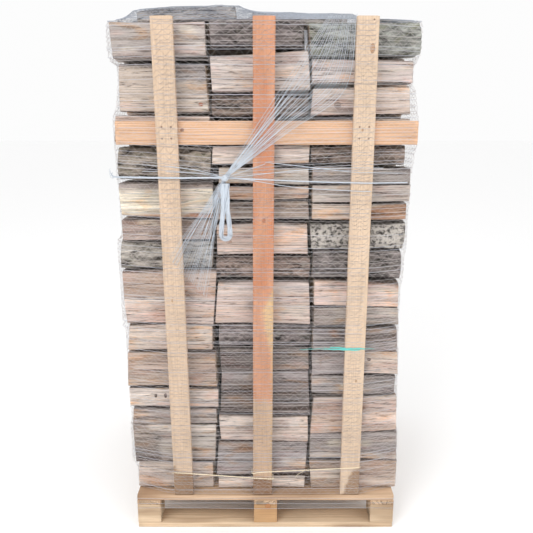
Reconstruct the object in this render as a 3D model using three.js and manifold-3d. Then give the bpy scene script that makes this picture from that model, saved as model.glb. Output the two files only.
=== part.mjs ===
// A pallet of split firewood. Three columns of logs lie side by side across a block pallet, every log
// with its length along X. Battens and a rail hold the stack at the front and at the back, and a wound
// net goes round and over everything. The net's end is gathered in a knot with a hanging loop.
// Millimetres, +Z up, origin under the middle of the pallet, front towards -Y.
import * as THREE from "three";
import { mergeVertices } from "three/addons/utils/BufferGeometryUtils.js";
import Module from "manifold-3d";

const GAP = 0.3; // between pieces that touch

// Pallet
const PALLET = 1000; // along X and along Y
const BOARD = 20; // thickness of every pallet board
const BLOCK = { wide: 90, deep: 90, high: 80 };
const DECK_BOARDS = 5;
const DECK_BOARD_WIDE = 140;
const DECK_TOP = 3 * BOARD + BLOCK.high;

// Battens and rails
const BATTEN = { wide: 73, thick: 20, top: 1882 };
const BATTENS = [
  { side: "left", x: -326, lean: -0.6 },
  { side: "middle", x: -8, lean: 0.25 },
  { side: "right", x: 328, lean: 0.15 },
]; // lean in degrees, the top towards +X
const RAIL = { high: 79, from: -508, to: 516, middle: 1515.5 };
const BATTEN_FACE = 497; // front of the battens, from the middle of the pallet
const RAIL_FACE = BATTEN_FACE - BATTEN.thick - GAP;

// Logs
const LOG = { length: 330, deep: 146 };
const STACK_FACE = 452; // the stack's front, from the middle of the pallet
const COURSE_GAP = 2.6;
const HIDDEN_FACE = STACK_FACE - LOG.deep - 3; // front of the logs that lie behind the named ones
const COLUMN_X = { left: -353, middle: -11, right: 337 };

// Each column's front logs from the deck up: [the course's height, what faces the front, set back, and
// whether the log is a piece of its own]. A column's other logs, between and behind these, are one solid.
const COLUMNS = {
  left: [
    [115, "split", 8, true],
    [160, "bark", 0, true],
    [72, "split", 6, false],
    [82, "split", 2, false],
    [146, "slope", 4, true],
    [103, "split", 10, false],
    [213, "ridge", 0, true],
    [106, "bark", 2, false],
    [83, "split", 8, false],
    [130, "split", 0, true],
    [123, "bark", 4, true],
    [106, "split", 12, false],
    [177, "split", 6, true],
    [118, "slope", 0, true],
  ],
  middle: [
    [53, "split", 0, false],
    [149, "slope", 6, true],
    [115, "split", 0, true],
    [178, "bark", 4, true],
    [88, "split", 14, false],
    [98, "bark", 6, true],
    [172, "split", 0, true],
    [89, "bark", 10, true],
    [127, "split", 2, true],
    [75, "split", 12, false],
    [52, "split", 8, false],
    [69, "split", 5, false],
    [71, "split", 3, false],
    [87, "bark", 12, false],
    [85, "bark", 10, false],
    [142, "split", 2, true],
    [100, "bark", 18, false],
  ],
  right: [
    [124, "slope", 4, true],
    [117, "slope", 0, true],
    [160, "split", 2, true],
    [77, "split", 8, false],
    [97, "split", 4, false],
    [99, "split", 6, false],
    [73, "split", 3, false],
    [106, "split", 8, true],
    [108, "bark", 0, true],
    [108, "bark", 2, true],
    [64, "split", 10, false],
    [67, "split", 4, false],
    [65, "bark", 8, false],
    [68, "bark", 6, false],
    [96, "split", 12, false],
    [104, "split", 4, true],
    [90, "split", 8, false],
    [111, "bark", 0, true],
  ],
};
const HEAP = 46; // how far the logs behind the front ones rise above them
const LOOSE_LOG = { x: -266, y: -370, turn: 4, rise: 3.6, wide: 78, high: 52 }; // across two columns

// Net
const NET = { wall: 1.5, foot: DECK_TOP + 3, shoulder: 1928, top: 1958, inset: 0.84, thread: 9 };
const NET_CORNERS = [
  [384, 505],
  [520, 481],
  [533, 455],
]; // one quarter of the outline: battens, rail ends, then the logs' ends
const NET_MESH = {
  front: { rows: 8, row: 214, openings: 7, wide: 1034 },
  side: { rows: 8, row: 214, openings: 7, wide: 944 },
  roof: { rows: 4, row: 214, openings: 7, wide: 940 },
};
const KNOT = { x: -137, y: -516.5, z: 1367, wide: 15, deep: 11, high: 12 };
const LOOP = { thick: 12, drop: 190, spread: 19, neck: 8.6 };
const TWINE = { thick: 3, low: 213, high: 240, end: 262 };

const wasm = await Module();
wasm.setup();
const group = new THREE.Group();

const FINISH = {
  palletWood: { color: 0xcfae7c, roughness: 0.85 },
  battenWood: { color: 0xe6cfa8, roughness: 0.8 },
  splitWood: { color: 0xd8bda6, roughness: 0.9 },
  barkWood: { color: 0x83705f, roughness: 0.95 },
  netThread: { color: 0xdfe6ee, roughness: 0.5 },
  twineFibre: { color: 0xd9c29a, roughness: 0.9 },
};

function addPiece(name, geometry, finish) {
  const material = new THREE.MeshStandardMaterial({ ...FINISH[finish], metalness: 0 });
  const piece = new THREE.Mesh(geometry, material);
  piece.name = name;
  group.add(piece);
  return piece;
}

function solidOf(geometry) {
  const bare = geometry.clone();
  bare.deleteAttribute("normal");
  bare.deleteAttribute("uv");
  const merged = mergeVertices(bare, 1e-4);
  return new wasm.Manifold(
    new wasm.Mesh({
      numProp: 3,
      vertProperties: merged.attributes.position.array,
      triVerts: new Uint32Array(merged.index.array),
    }),
  );
}

function geometryOf(solid) {
  const mesh = solid.getMesh();
  const geometry = new THREE.BufferGeometry();
  geometry.setAttribute("position", new THREE.BufferAttribute(mesh.vertProperties, 3));
  geometry.setIndex(new THREE.BufferAttribute(mesh.triVerts, 1));
  return geometry;
}

// A block of wood from its middle and its three sizes.
function block(name, size, middle, finish) {
  const piece = addPiece(name, new THREE.BoxGeometry(...size), finish);
  piece.position.set(...middle);
  return piece;
}

// A solid with the same outline, given as [y, z] points, all along X.
function alongX(outline, from, to) {
  const shape = new THREE.Shape(outline.map(([y, z]) => new THREE.Vector2(y, z)));
  const geometry = new THREE.ExtrudeGeometry(shape, { depth: to - from, bevelEnabled: false });
  const axes = new THREE.Matrix4().makeBasis(
    new THREE.Vector3(0, 1, 0),
    new THREE.Vector3(0, 0, 1),
    new THREE.Vector3(1, 0, 0),
  );
  return geometry.applyMatrix4(axes).translate(from, 0, 0);
}

// Convex rings of [x, y, z] points, one above the other, joined and closed at both ends.
function loft(rings) {
  const n = rings[0].length;
  const faces = [];
  for (let r = 0; r + 1 < rings.length; r++)
    for (let i = 0; i < n; i++) {
      const a = r * n + i;
      const b = r * n + ((i + 1) % n);
      faces.push(a, b, b + n, a, b + n, a + n);
    }
  const last = (rings.length - 1) * n;
  for (let i = 1; i + 1 < n; i++) faces.push(0, i + 1, i, last, last + i, last + i + 1);
  const geometry = new THREE.BufferGeometry();
  geometry.setAttribute("position", new THREE.Float32BufferAttribute(rings.flat(2), 3));
  geometry.setIndex(faces);
  return geometry;
}

function makePallet() {
  const rows = { front: -1, centre: 0, back: 1 };
  const lines = { left: -1, middle: 0, right: 1 };
  const edge = (PALLET - BLOCK.wide) / 2;
  for (const [row, y] of Object.entries(rows)) {
    const boardSize = [PALLET, BLOCK.deep, BOARD - GAP];
    block(`pallet_bottom_board_${row}`, boardSize, [0, y * edge, (BOARD - GAP) / 2], "palletWood");
    for (const [line, x] of Object.entries(lines)) {
      const blockSize = [BLOCK.wide, BLOCK.deep, BLOCK.high - GAP];
      const middle = [x * edge, y * edge, BOARD + (BLOCK.high - GAP) / 2];
      block(`pallet_block_${row}_${line}`, blockSize, middle, "palletWood");
    }
  }
  for (const [line, x] of Object.entries(lines)) {
    const middle = [x * edge, 0, BOARD + BLOCK.high + (BOARD - GAP) / 2];
    block(`pallet_stringer_${line}`, [BLOCK.wide, PALLET, BOARD - GAP], middle, "palletWood");
  }
  const step = (PALLET - DECK_BOARD_WIDE) / (DECK_BOARDS - 1);
  for (let i = 0; i < DECK_BOARDS; i++) {
    const middle = [0, -(PALLET - DECK_BOARD_WIDE) / 2 + i * step, DECK_TOP - (BOARD + GAP) / 2];
    block(`pallet_deck_board_${i + 1}`, [PALLET, DECK_BOARD_WIDE, BOARD - GAP], middle, "palletWood");
  }
}

// Middle of a batten along X at the height z.
function battenAt({ x, lean }, z) {
  const halfway = (BATTEN.top + DECK_TOP) / 2;
  return x + (z - halfway) * Math.tan(THREE.MathUtils.degToRad(lean));
}

function makeBattens() {
  const high = BATTEN.top - DECK_TOP - 2; // a lean lowers one corner a little
  for (const [end, way] of Object.entries({ front: -1, back: 1 })) {
    for (const { side, x, lean } of BATTENS) {
      const middle = [x, way * (BATTEN_FACE - BATTEN.thick / 2), BATTEN.top - high / 2];
      const size = [BATTEN.wide, BATTEN.thick, high];
      const batten = block(`batten_${end}_${side}`, size, middle, "battenWood");
      batten.rotation.y = THREE.MathUtils.degToRad(lean);
    }
    const size = [RAIL.to - RAIL.from, BATTEN.thick, RAIL.high];
    const middle = [(RAIL.to + RAIL.from) / 2, way * (RAIL_FACE - BATTEN.thick / 2), RAIL.middle];
    block(`rail_${end}`, size, middle, "battenWood");
  }
}

// Outline of one front log, as [y, z] points with the front at y = 0 and the back at y = deep.
function logOutline(facing, deep, high) {
  const fronts = {
    split: [
      [2, 0.02 * high],
      [0, 0.12 * high],
      [3, 0.9 * high],
      [9, high],
    ],
    slope: [
      [0, 0.05 * high],
      [4, 0.5 * high],
      [14, 0.92 * high],
      [26, high],
    ],
    ridge: [
      [6, 0],
      [0, 0.1 * high],
      [2, 0.48 * high],
      [10, 0.86 * high],
      [30, high],
    ],
    bark: [
      [0.16 * high, 0],
      [0.04 * high, 0.18 * high],
      [0, 0.5 * high],
      [0.05 * high, 0.82 * high],
      [0.2 * high, high],
    ],
  };
  const back = [
    [0.8 * deep, 0.97 * high],
    [deep, 0.72 * high],
    [deep, 0.24 * high],
    [0.78 * deep, 0],
  ];
  return [...fronts[facing], ...back].reverse();
}

// Where each log of a column stands.
function courses(column) {
  let z = DECK_TOP + 2;
  return COLUMNS[column].map(([course, facing, setBack, own], i) => {
    const bottom = z;
    z += course;
    const shift = ((i * 5) % 7) - 3; // the logs' ends don't line up
    return { high: course - COURSE_GAP, facing, setBack, own, bottom, shift, number: i + 1 };
  });
}

function makeFrontLogs(column) {
  for (const { high, facing, setBack, own, bottom, shift, number } of courses(column)) {
    if (!own) continue;
    const outline = logOutline(facing, LOG.deep - setBack, high);
    const front = -STACK_FACE + setBack;
    const placed = outline.map(([y, z]) => [front + y, bottom + z]);
    const from = COLUMN_X[column] - LOG.length / 2 + shift;
    const name = `log_${column}_${String(number).padStart(2, "0")}`;
    const finish = facing === "bark" ? "barkWood" : "splitWood";
    addPiece(name, alongX(placed, from, from + LOG.length), finish);
  }
}

// The rest of a column: its thinner front logs reach the front, and the logs behind fill it to the back.
function makeColumn(column) {
  const rows = courses(column);
  const top = rows.at(-1).bottom + rows.at(-1).high;
  const front = [];
  const back = [];
  for (const { high, setBack, own, bottom, number } of rows) {
    const edge = Math.min(7, high / 4);
    const up = bottom + high;
    if (own) {
      front.push([-HIDDEN_FACE, bottom - COURSE_GAP / 2], [-HIDDEN_FACE, up + COURSE_GAP / 2]);
    } else {
      const face = -STACK_FACE + setBack;
      front.push([face + edge, bottom], [face, bottom + edge], [face, up - edge], [face + edge, up]);
    }
    const rear = STACK_FACE - ((number * 7) % 11);
    back.push([rear - edge, bottom], [rear, bottom + edge], [rear, up - edge], [rear - edge, up]);
  }
  front[0][1] = rows[0].bottom;
  const heap = [
    [-HIDDEN_FACE + 1, top + COURSE_GAP / 2],
    [-HIDDEN_FACE + 20, top + 0.2 * HEAP],
    [-HIDDEN_FACE + 90, top + 0.75 * HEAP],
    [-60, top + 0.6 * HEAP],
    [70, top + HEAP],
    [230, top + 0.8 * HEAP],
    [340, top + 0.3 * HEAP],
  ];
  const outline = [...front, ...heap, ...back.reverse()].reverse();
  const from = COLUMN_X[column] - LOG.length / 2;
  addPiece(`stack_${column}`, alongX(apart(outline), from, from + LOG.length), "splitWood");
}

// Leaves out points that repeat the one before.
function apart(outline) {
  return outline.filter(([y, z], i) => {
    const [beforeY, beforeZ] = outline.at(i - 1);
    return Math.hypot(y - beforeY, z - beforeZ) > 0.05;
  });
}

// One end lies on the left column and the other on the taller middle one.
function makeLooseLog() {
  const { x, y, turn, rise, wide, high } = LOOSE_LOG;
  const outline = [
    [-0.5 * wide, 0.1 * high],
    [-0.42 * wide, 0],
    [0.42 * wide, 0],
    [0.5 * wide, 0.2 * high],
    [0.34 * wide, 0.8 * high],
    [0, high],
    [-0.36 * wide, 0.76 * high],
  ];
  const log = addPiece("log_loose_top", alongX(outline, -LOG.length / 2, LOG.length / 2), "barkWood");
  const slope = THREE.MathUtils.degToRad(rise);
  log.rotation.set(0, -slope, THREE.MathUtils.degToRad(turn), "ZYX");
  const columnTop = courses("left").at(-1).bottom + courses("left").at(-1).high;
  log.position.set(x, y, columnTop + 4 + (LOG.length / 2) * Math.sin(slope));
}

// The net's outline at one height, grown or shrunk by "out" and scaled by "share".
function netRing(z, out, share = 1) {
  const quarter = NET_CORNERS.map(([x, y]) => [x * share + out, y * share + out]);
  const right = [...quarter.map(([x, y]) => [x, -y]), ...quarter.map(([x, y]) => [x, y]).reverse()];
  const left = [...right].reverse().map(([x, y]) => [-x, y]);
  return [...right, ...left].map(([x, y]) => [x, y, z]);
}

// Triangular openings in rows, point up and point down in turn, as [across, up] outlines.
function meshOpenings({ rows, row, openings, wide }, bottom) {
  const step = (2 * wide) / (openings + 1);
  const side = NET.thread * 0.8;
  const outlines = [];
  for (let r = 0; r < rows; r++)
    for (let i = 0; i < openings; i++) {
      const middle = -wide / 2 + (i + 1) * (step / 2);
      const low = bottom + r * row + NET.thread / 2;
      const high = low + row - NET.thread;
      const half = step / 2 - side;
      const pointUp = (i + r) % 2 === 0;
      const [foot, tip] = pointUp ? [low, high] : [high, low];
      const outline = [
        [middle - half, foot],
        [middle + half, foot],
        [middle, tip],
      ];
      outlines.push(pointUp ? outline : outline.reverse());
    }
  return outlines;
}

// A long prism through both opposite walls of the net. The places say where [across, up, along] go.
function openingPrism(outline, from, to, places) {
  const shape = new THREE.Shape(outline.map(([u, v]) => new THREE.Vector2(u, v)));
  const geometry = new THREE.ExtrudeGeometry(shape, { depth: to - from, bevelEnabled: false });
  return solidOf(geometry.translate(0, 0, from).applyMatrix4(places));
}

function makeNet() {
  const { wall, foot, shoulder, top, inset } = NET;
  const outer = loft([netRing(foot, 0), netRing(shoulder, 0), netRing(top, 0, inset)]);
  const inner = loft([
    netRing(foot - 5, -wall),
    netRing(shoulder - wall / 2, -wall),
    netRing(top - wall, -wall, inset),
  ]);
  const [ax, ay, az] = [0, 1, 2].map((i) => new THREE.Vector3().setComponent(i, 1));
  const alongY = new THREE.Matrix4().makeBasis(ax, az, ay.clone().negate());
  const alongXAxis = new THREE.Matrix4().makeBasis(ay, az, ax);
  const upwards = new THREE.Matrix4();
  const prisms = [
    ...meshOpenings(NET_MESH.front, foot + 22).map((o) => openingPrism(o, -600, 600, alongY)),
    ...meshOpenings(NET_MESH.side, foot + 22).map((o) => openingPrism(o, -600, 600, alongXAxis)),
    ...meshOpenings(NET_MESH.roof, -2 * NET_MESH.roof.row).map((o) => openingPrism(o, 1200, 2200, upwards)),
  ];
  const shell = solidOf(outer).subtract(solidOf(inner));
  addPiece("net_wrap", geometryOf(shell.subtract(wasm.Manifold.union(prisms))), "netThread");
}

// A closed tube along a smooth curve through the points.
function tube(points, thick, sides, steps) {
  const path = new THREE.CatmullRomCurve3(points.map((p) => new THREE.Vector3(...p)));
  const section = new THREE.Shape();
  for (let i = 0; i < sides; i++) {
    const angle = (i / sides) * 2 * Math.PI;
    const place = [(thick / 2) * Math.cos(angle), (thick / 2) * Math.sin(angle)];
    if (i) section.lineTo(...place);
    else section.moveTo(...place);
  }
  return new THREE.ExtrudeGeometry(section, { extrudePath: path, steps, bevelEnabled: false });
}

function makeKnot() {
  const knot = addPiece("net_knot", new THREE.SphereGeometry(1, 14, 9), "netThread");
  knot.scale.set(KNOT.wide, KNOT.deep, KNOT.high);
  knot.position.set(KNOT.x, KNOT.y, KNOT.z);
}

// The loop hangs from the knot as a long drop, open at its round bottom.
function makeLoop() {
  const { thick, drop, spread, neck } = LOOP;
  const top = KNOT.z - KNOT.high - 6;
  const middle = top - drop + spread;
  const leg = (way) => [
    [KNOT.x + way * neck, KNOT.y, top],
    [KNOT.x + way * (neck + 0.5), KNOT.y, top - 0.25 * drop],
    [KNOT.x + way * (neck + 3), KNOT.y, top - 0.5 * drop],
    [KNOT.x + way * (spread - 2.5), KNOT.y, top - 0.72 * drop],
    [KNOT.x + way * spread, KNOT.y, middle],
    [KNOT.x + way * 0.92 * spread, KNOT.y, middle - 0.38 * spread],
    [KNOT.x + way * 0.71 * spread, KNOT.y, middle - 0.71 * spread],
    [KNOT.x + way * 0.38 * spread, KNOT.y, middle - 0.92 * spread],
  ];
  const route = [...leg(-1), [KNOT.x, KNOT.y, top - drop], ...leg(1).reverse()];
  addPiece("net_loop", tube(route, thick, 8, 44), "netThread");
}

// The twine crosses the left batten, goes once round the middle one and ends on the right one.
function makeTwine() {
  const { thick, low, high, end } = TWINE;
  const front = -BATTEN_FACE - thick / 2 - 0.6;
  const behind = -BATTEN_FACE + BATTEN.thick + 6;
  const half = BATTEN.wide / 2;
  const [left, middle, right] = BATTENS.map((batten) => battenAt(batten, high));
  const round = (way, z) => [
    [middle + way * (half + 8), front + 2, z],
    [middle + way * (half + 13), (front + behind) / 2, z + 2],
    [middle + way * (half + 8), behind, z + 4],
  ];
  const route = [
    [left - half + 4, front, high],
    [left, front, high - 2],
    [(left + middle) / 2, front, (high + low) / 2],
    [middle - half, front, low + 4],
    ...round(1, low),
    [middle, behind + 2, (high + low) / 2],
    ...round(-1, high - 4).reverse(),
    [middle, front, high + 2],
    [(middle + right) / 2, front, (high + end) / 2],
    [right, front, end - 2],
    [right + half - 4, front, end],
  ];
  addPiece("bottom_twine", tube(route, thick, 8, 80), "twineFibre");
}

makePallet();
makeBattens();
for (const column of Object.keys(COLUMNS)) {
  makeFrontLogs(column);
  makeColumn(column);
}
makeLooseLog();
makeNet();
makeKnot();
makeLoop();
makeTwine();

export default group;
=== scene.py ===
import itertools
import math

import bpy
import numpy as np
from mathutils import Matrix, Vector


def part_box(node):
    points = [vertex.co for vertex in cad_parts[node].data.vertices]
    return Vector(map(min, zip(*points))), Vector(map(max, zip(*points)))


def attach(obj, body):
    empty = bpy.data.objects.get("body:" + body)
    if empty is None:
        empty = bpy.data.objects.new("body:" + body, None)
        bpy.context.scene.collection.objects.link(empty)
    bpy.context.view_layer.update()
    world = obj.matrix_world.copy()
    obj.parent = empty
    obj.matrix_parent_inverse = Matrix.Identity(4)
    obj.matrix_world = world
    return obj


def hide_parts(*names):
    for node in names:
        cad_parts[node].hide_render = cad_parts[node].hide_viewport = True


# A pallet of split firewood in a wound net. Metres, +Z up, the front towards -Y, every log along X.

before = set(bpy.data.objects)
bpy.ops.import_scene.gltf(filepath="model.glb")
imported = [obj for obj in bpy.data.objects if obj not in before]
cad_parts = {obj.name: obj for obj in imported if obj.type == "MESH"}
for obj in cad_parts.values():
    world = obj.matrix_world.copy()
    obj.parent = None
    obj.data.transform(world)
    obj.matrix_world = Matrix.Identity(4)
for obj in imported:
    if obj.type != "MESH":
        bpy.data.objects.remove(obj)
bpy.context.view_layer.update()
scene = bpy.context.scene

cameraSetup = {
    "place": (0.0, -2.5, 1.539),
    "pitchDown": 13.5,
    "lens": 39.45,
    "shift": (0.0019, -0.001),
}


def addCamera():
    data = bpy.data.cameras.new("camera")
    data.lens = cameraSetup["lens"]
    data.shift_x, data.shift_y = cameraSetup["shift"]
    camera = bpy.data.objects.new("camera", data)
    camera.location = cameraSetup["place"]
    camera.rotation_euler = (math.radians(90 - cameraSetup["pitchDown"]), 0, 0)
    scene.collection.objects.link(camera)
    scene.camera = camera


addCamera()
print("camera in place")


# Smooth repeatable noise from -1 to 1, at an array of points.

noiseSide = 32
noiseTable = np.random.default_rng(5).random((noiseSide,) * 3)


def smoothNoise(points, scale, shift=0.0):
    spot = np.asarray(points, float) * np.asarray(scale, float) + shift
    cell = np.floor(spot).astype(int)
    part = spot - cell
    part = part * part * (3 - 2 * part)
    total = np.zeros(spot.shape[:-1])
    for corner in itertools.product((0, 1), repeat=3):
        index = (cell + corner) % noiseSide
        weight = np.prod(np.where(np.array(corner) == 1, part, 1 - part), axis=-1)
        total += weight * noiseTable[index[..., 0], index[..., 1], index[..., 2]]
    return total * 2 - 1


# Mesh making. A store gathers closed solids until they become one piece.


def newStore():
    return {"points": [], "faces": [], "kinds": [], "tones": [], "places": [], "count": 0}


def addToStore(store, points, faces, kinds, tones, places):
    base = store["count"]
    store["points"].append(points)
    store["faces"].extend([[base + i for i in face] for face in faces])
    store["kinds"].append(np.asarray(kinds, int))
    store["tones"].append(tones)
    store["places"].append(places)
    store["count"] += len(points)


def makePiece(name, store, materials, nodes=(), smooth=True):
    mesh = bpy.data.meshes.new(name)
    mesh.from_pydata(np.concatenate(store["points"]).tolist(), [], store["faces"])
    for material in materials:
        mesh.materials.append(material)
    mesh.polygons.foreach_set("material_index", np.concatenate(store["kinds"]))
    mesh.polygons.foreach_set("use_smooth", [smooth] * len(mesh.polygons))
    tone = mesh.attributes.new("woodTone", "FLOAT_COLOR", "POINT")
    tone.data.foreach_set("color", np.concatenate(store["tones"]).ravel())
    place = mesh.attributes.new("woodPlace", "FLOAT_VECTOR", "POINT")
    place.data.foreach_set("vector", np.concatenate(store["places"]).ravel())
    mesh.update()
    piece = bpy.data.objects.new(name, mesh)
    scene.collection.objects.link(piece)
    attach(piece, "root")
    if nodes:
        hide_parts(*nodes)
    return piece


def ringFaces(rings, around):
    step = np.arange(around)
    following = (step + 1) % around
    faces = []
    for k in range(rings - 1):
        a = k * around
        quads = np.stack([a + step, a + following, a + around + following, a + around + step], 1)
        faces.extend(quads.tolist())
    return faces


def capFaces(rimStart, innerStarts, middle, around, atFarEnd):
    step = np.arange(around)
    following = (step + 1) % around
    faces = []
    outer = rimStart
    for inner in innerStarts:
        quads = np.stack([outer + step, outer + following, inner + following, inner + step], 1)
        faces.extend((quads if atFarEnd else quads[:, ::-1]).tolist())
        outer = inner
    fan = np.stack([outer + step, outer + following, np.full(around, middle)], 1)
    faces.extend((fan if atFarEnd else fan[:, ::-1]).tolist())
    return faces


# Joins rings of points into a closed solid. Each end gets two smaller rings and a middle point.
def closedSolid(rings, capShares=(0.93, 0.5)):
    count, around = rings.shape[:2]
    points = [rings.reshape(-1, 3)]
    faces = ringFaces(count, around)
    sideFaces = len(faces)
    total = count * around
    for end, atFarEnd in ((0, False), (count - 1, True)):
        centre = rings[end].mean(0)
        starts = []
        for share in capShares:
            points.append(centre + (rings[end] - centre) * share)
            starts.append(total)
            total += around
        points.append(centre[None])
        faces += capFaces(end * around, starts, total, around, atFarEnd)
        total += 1
    return np.concatenate(points), faces, sideFaces


# Materials. Every wooden one reads two things kept on the mesh: woodTone, the colour of that spot with
# its weathering in alpha, and woodPlace, the spot along the grain and across it from the heart.


def addNode(tree, kind, inputs=None, **settings):
    node = tree.nodes.new(kind)
    for key, value in settings.items():
        setattr(node, key, value)
    for key, value in (inputs or {}).items():
        if isinstance(value, bpy.types.NodeSocket):
            tree.links.new(value, node.inputs[key])
        else:
            node.inputs[key].default_value = value
    return node


def grainNoise(tree, place, scale, detail=4.0, roughness=0.6, distortion=0.0):
    spot = addNode(tree, "ShaderNodeMapping", {"Vector": place, "Scale": scale}).outputs[0]
    inputs = {"Vector": spot, "Scale": 1.0, "Detail": detail, "Roughness": roughness}
    inputs["Distortion"] = distortion
    return addNode(tree, "ShaderNodeTexNoise", inputs).outputs[0]


def ramp(tree, factor, *stops):
    node = addNode(tree, "ShaderNodeValToRGB", {"Fac": factor})
    bar = node.color_ramp.elements
    while len(bar) < len(stops):
        bar.new(0.5)
    for element, (position, value) in zip(bar, stops):
        element.position = position
        element.color = (*value, 1) if isinstance(value, tuple) else (value, value, value, 1)
    return node.outputs[0]


def maths(tree, operation, a, b=0.0, c=0.0):
    return addNode(tree, "ShaderNodeMath", {0: a, 1: b, 2: c}, operation=operation).outputs[0]


def blendColour(tree, factor, a, b, how="MIX"):
    inputs = {0: factor, 6: a, 7: b}
    return addNode(tree, "ShaderNodeMix", inputs, data_type="RGBA", blend_type=how).outputs[2]


def multiplied(tree, colour, by):
    return blendColour(tree, 1.0, colour, by, "MULTIPLY")


# Darkens or lightens a colour by the stops of a ramp over a pattern.
def shaded(tree, colour, pattern, *stops):
    return multiplied(tree, colour, ramp(tree, pattern, *stops))


# The three parts of a spot's place, and how far it is from the heart of its log or board.
def fromHeart(tree, place):
    parts = addNode(tree, "ShaderNodeSeparateXYZ", {0: place}).outputs
    flat = addNode(tree, "ShaderNodeCombineXYZ", {"X": 0.0, "Y": parts[1], "Z": parts[2]}).outputs[0]
    reach = addNode(tree, "ShaderNodeVectorMath", {0: flat}, operation="LENGTH").outputs["Value"]
    return parts, reach


def yearRings(tree, reach, spacing):
    return maths(tree, "SINE", maths(tree, "MULTIPLY", reach, 2 * math.pi / spacing))


# Brings a wave from -1 to 1 into the range from 0 to 1.
def zeroToOne(tree, wave):
    return maths(tree, "MULTIPLY_ADD", wave, 0.5, 0.5)


def newMaterial(name, roughness):
    material = bpy.data.materials.new(name)
    material.use_nodes = True
    tree = material.node_tree
    shader = tree.nodes["Principled BSDF"]
    shader.inputs["Roughness"].default_value = roughness
    return material, tree, shader


def startMaterial(name, roughness):
    material, tree, shader = newMaterial(name, roughness)
    shader.inputs["Specular IOR Level"].default_value = 0.25
    tone = addNode(tree, "ShaderNodeAttribute", attribute_name="woodTone")
    place = addNode(tree, "ShaderNodeAttribute", attribute_name="woodPlace")
    return material, tree, shader, tone, place.outputs["Vector"]


def addRelief(tree, shader, height, depth, strength=1.0):
    inputs = {"Height": height, "Distance": depth, "Strength": strength}
    bump = addNode(tree, "ShaderNodeBump", inputs)
    tree.links.new(bump.outputs[0], shader.inputs["Normal"])


def splitFaceMaterial():
    material, tree, shader, tone, place = startMaterial("split face", 0.88)
    fibre = grainNoise(tree, place, (9, 95, 95), 6, 0.66, 0.9)
    bands = grainNoise(tree, place, (3, 26, 26), 3, 0.5)
    fine = grainNoise(tree, place, (55, 420, 420), 3, 0.65)
    stain = grainNoise(tree, place, (5, 14, 14), 4, 0.6, 0.6)
    check = grainNoise(tree, place, (2.2, 120, 120), 2, 0.45, 0.2)
    crack = maths(tree, "ABSOLUTE", maths(tree, "SUBTRACT", check, 0.5))
    cracked = ramp(tree, crack, (0.0, 0.25), (0.012, 0.7), (0.03, 1.0))
    colour = shaded(tree, tone.outputs["Color"], fibre, (0.26, 0.66), (0.5, 1.0), (0.78, 1.15))
    colour = shaded(tree, colour, bands, (0.3, 0.8), (0.65, 1.07))
    colour = shaded(tree, colour, fine, (0.3, 0.86), (0.7, 1.1))
    tint = grainNoise(tree, place, (6, 20, 20), 3, 0.55, 0.8)
    colour = shaded(tree, colour, tint, (0.32, (1.06, 0.87, 0.71)), (0.44, (1.0, 1.0, 1.0)),
                    (0.56, (0.99, 0.98, 1.0)), (0.7, (1.04, 0.91, 0.9)))
    grey = ramp(tree, stain, (0.42, 0.0), (0.62, 1.0))
    weather = maths(tree, "MULTIPLY", grey, tone.outputs["Alpha"])
    greyed = multiplied(tree, colour, (0.72, 0.73, 0.74, 1))
    colour = blendColour(tree, weather, colour, greyed)
    warm = ramp(tree, stain, (0.28, 1.0), (0.4, 0.0))
    browned = multiplied(tree, colour, (0.86, 0.66, 0.5, 1))
    colour = blendColour(tree, maths(tree, "MULTIPLY", warm, 0.75), colour, browned)
    hairs = grainNoise(tree, place, (4.5, 190, 190), 3, 0.55, 0.7)
    colour = shaded(tree, colour, hairs, (0.33, 0.46), (0.42, 0.97), (0.62, 1.08))
    streak = ramp(tree, grainNoise(tree, place, (2.0, 34, 34), 5, 0.6, 0.4), (0.5, 0.0), (0.66, 1.0))
    streaked = multiplied(tree, colour, (0.4, 0.34, 0.32, 1))
    colour = blendColour(tree, maths(tree, "MULTIPLY", streak, tone.outputs["Alpha"]), colour, streaked)
    colour = multiplied(tree, colour, cracked)
    tree.links.new(colour, shader.inputs["Base Color"])
    height = maths(tree, "ADD", maths(tree, "MULTIPLY", fibre, 0.75), maths(tree, "MULTIPLY", fine, 0.2))
    height = maths(tree, "MULTIPLY", height, cracked)
    addRelief(tree, shader, height, 0.003, 0.6)
    return material


def barkMaterial():
    material, tree, shader, tone, place = startMaterial("bark", 0.95)
    plates = grainNoise(tree, place, (16, 62, 62), 6, 0.65, 0.8)
    lumps = grainNoise(tree, place, (9, 22, 22), 3, 0.5)
    fine = grainNoise(tree, place, (90, 210, 210), 4, 0.65)
    moss = grainNoise(tree, place, (14, 24, 24), 5, 0.65, 0.4)
    furrow = ramp(tree, plates, (0.37, 0.12), (0.47, 0.74), (0.58, 1.25), (0.72, 1.75))
    colour = multiplied(tree, tone.outputs["Color"], furrow)
    colour = shaded(tree, colour, fine, (0.3, 0.72), (0.7, 1.22))
    colour = shaded(tree, colour, lumps, (0.3, 0.75), (0.65, 1.15))
    grown = maths(tree, "MULTIPLY", ramp(tree, moss, (0.5, 0.0), (0.62, 0.8)), tone.outputs["Alpha"])
    colour = blendColour(tree, grown, colour, (0.25, 0.245, 0.15, 1))
    crust = ramp(tree, moss, (0.3, 0.5), (0.4, 0.0))
    colour = blendColour(tree, crust, colour, (0.5, 0.47, 0.42, 1))
    tree.links.new(colour, shader.inputs["Base Color"])
    height = maths(tree, "ADD", plates, maths(tree, "MULTIPLY", fine, 0.2))
    addRelief(tree, shader, height, 0.014, 1.0)
    return material


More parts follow.
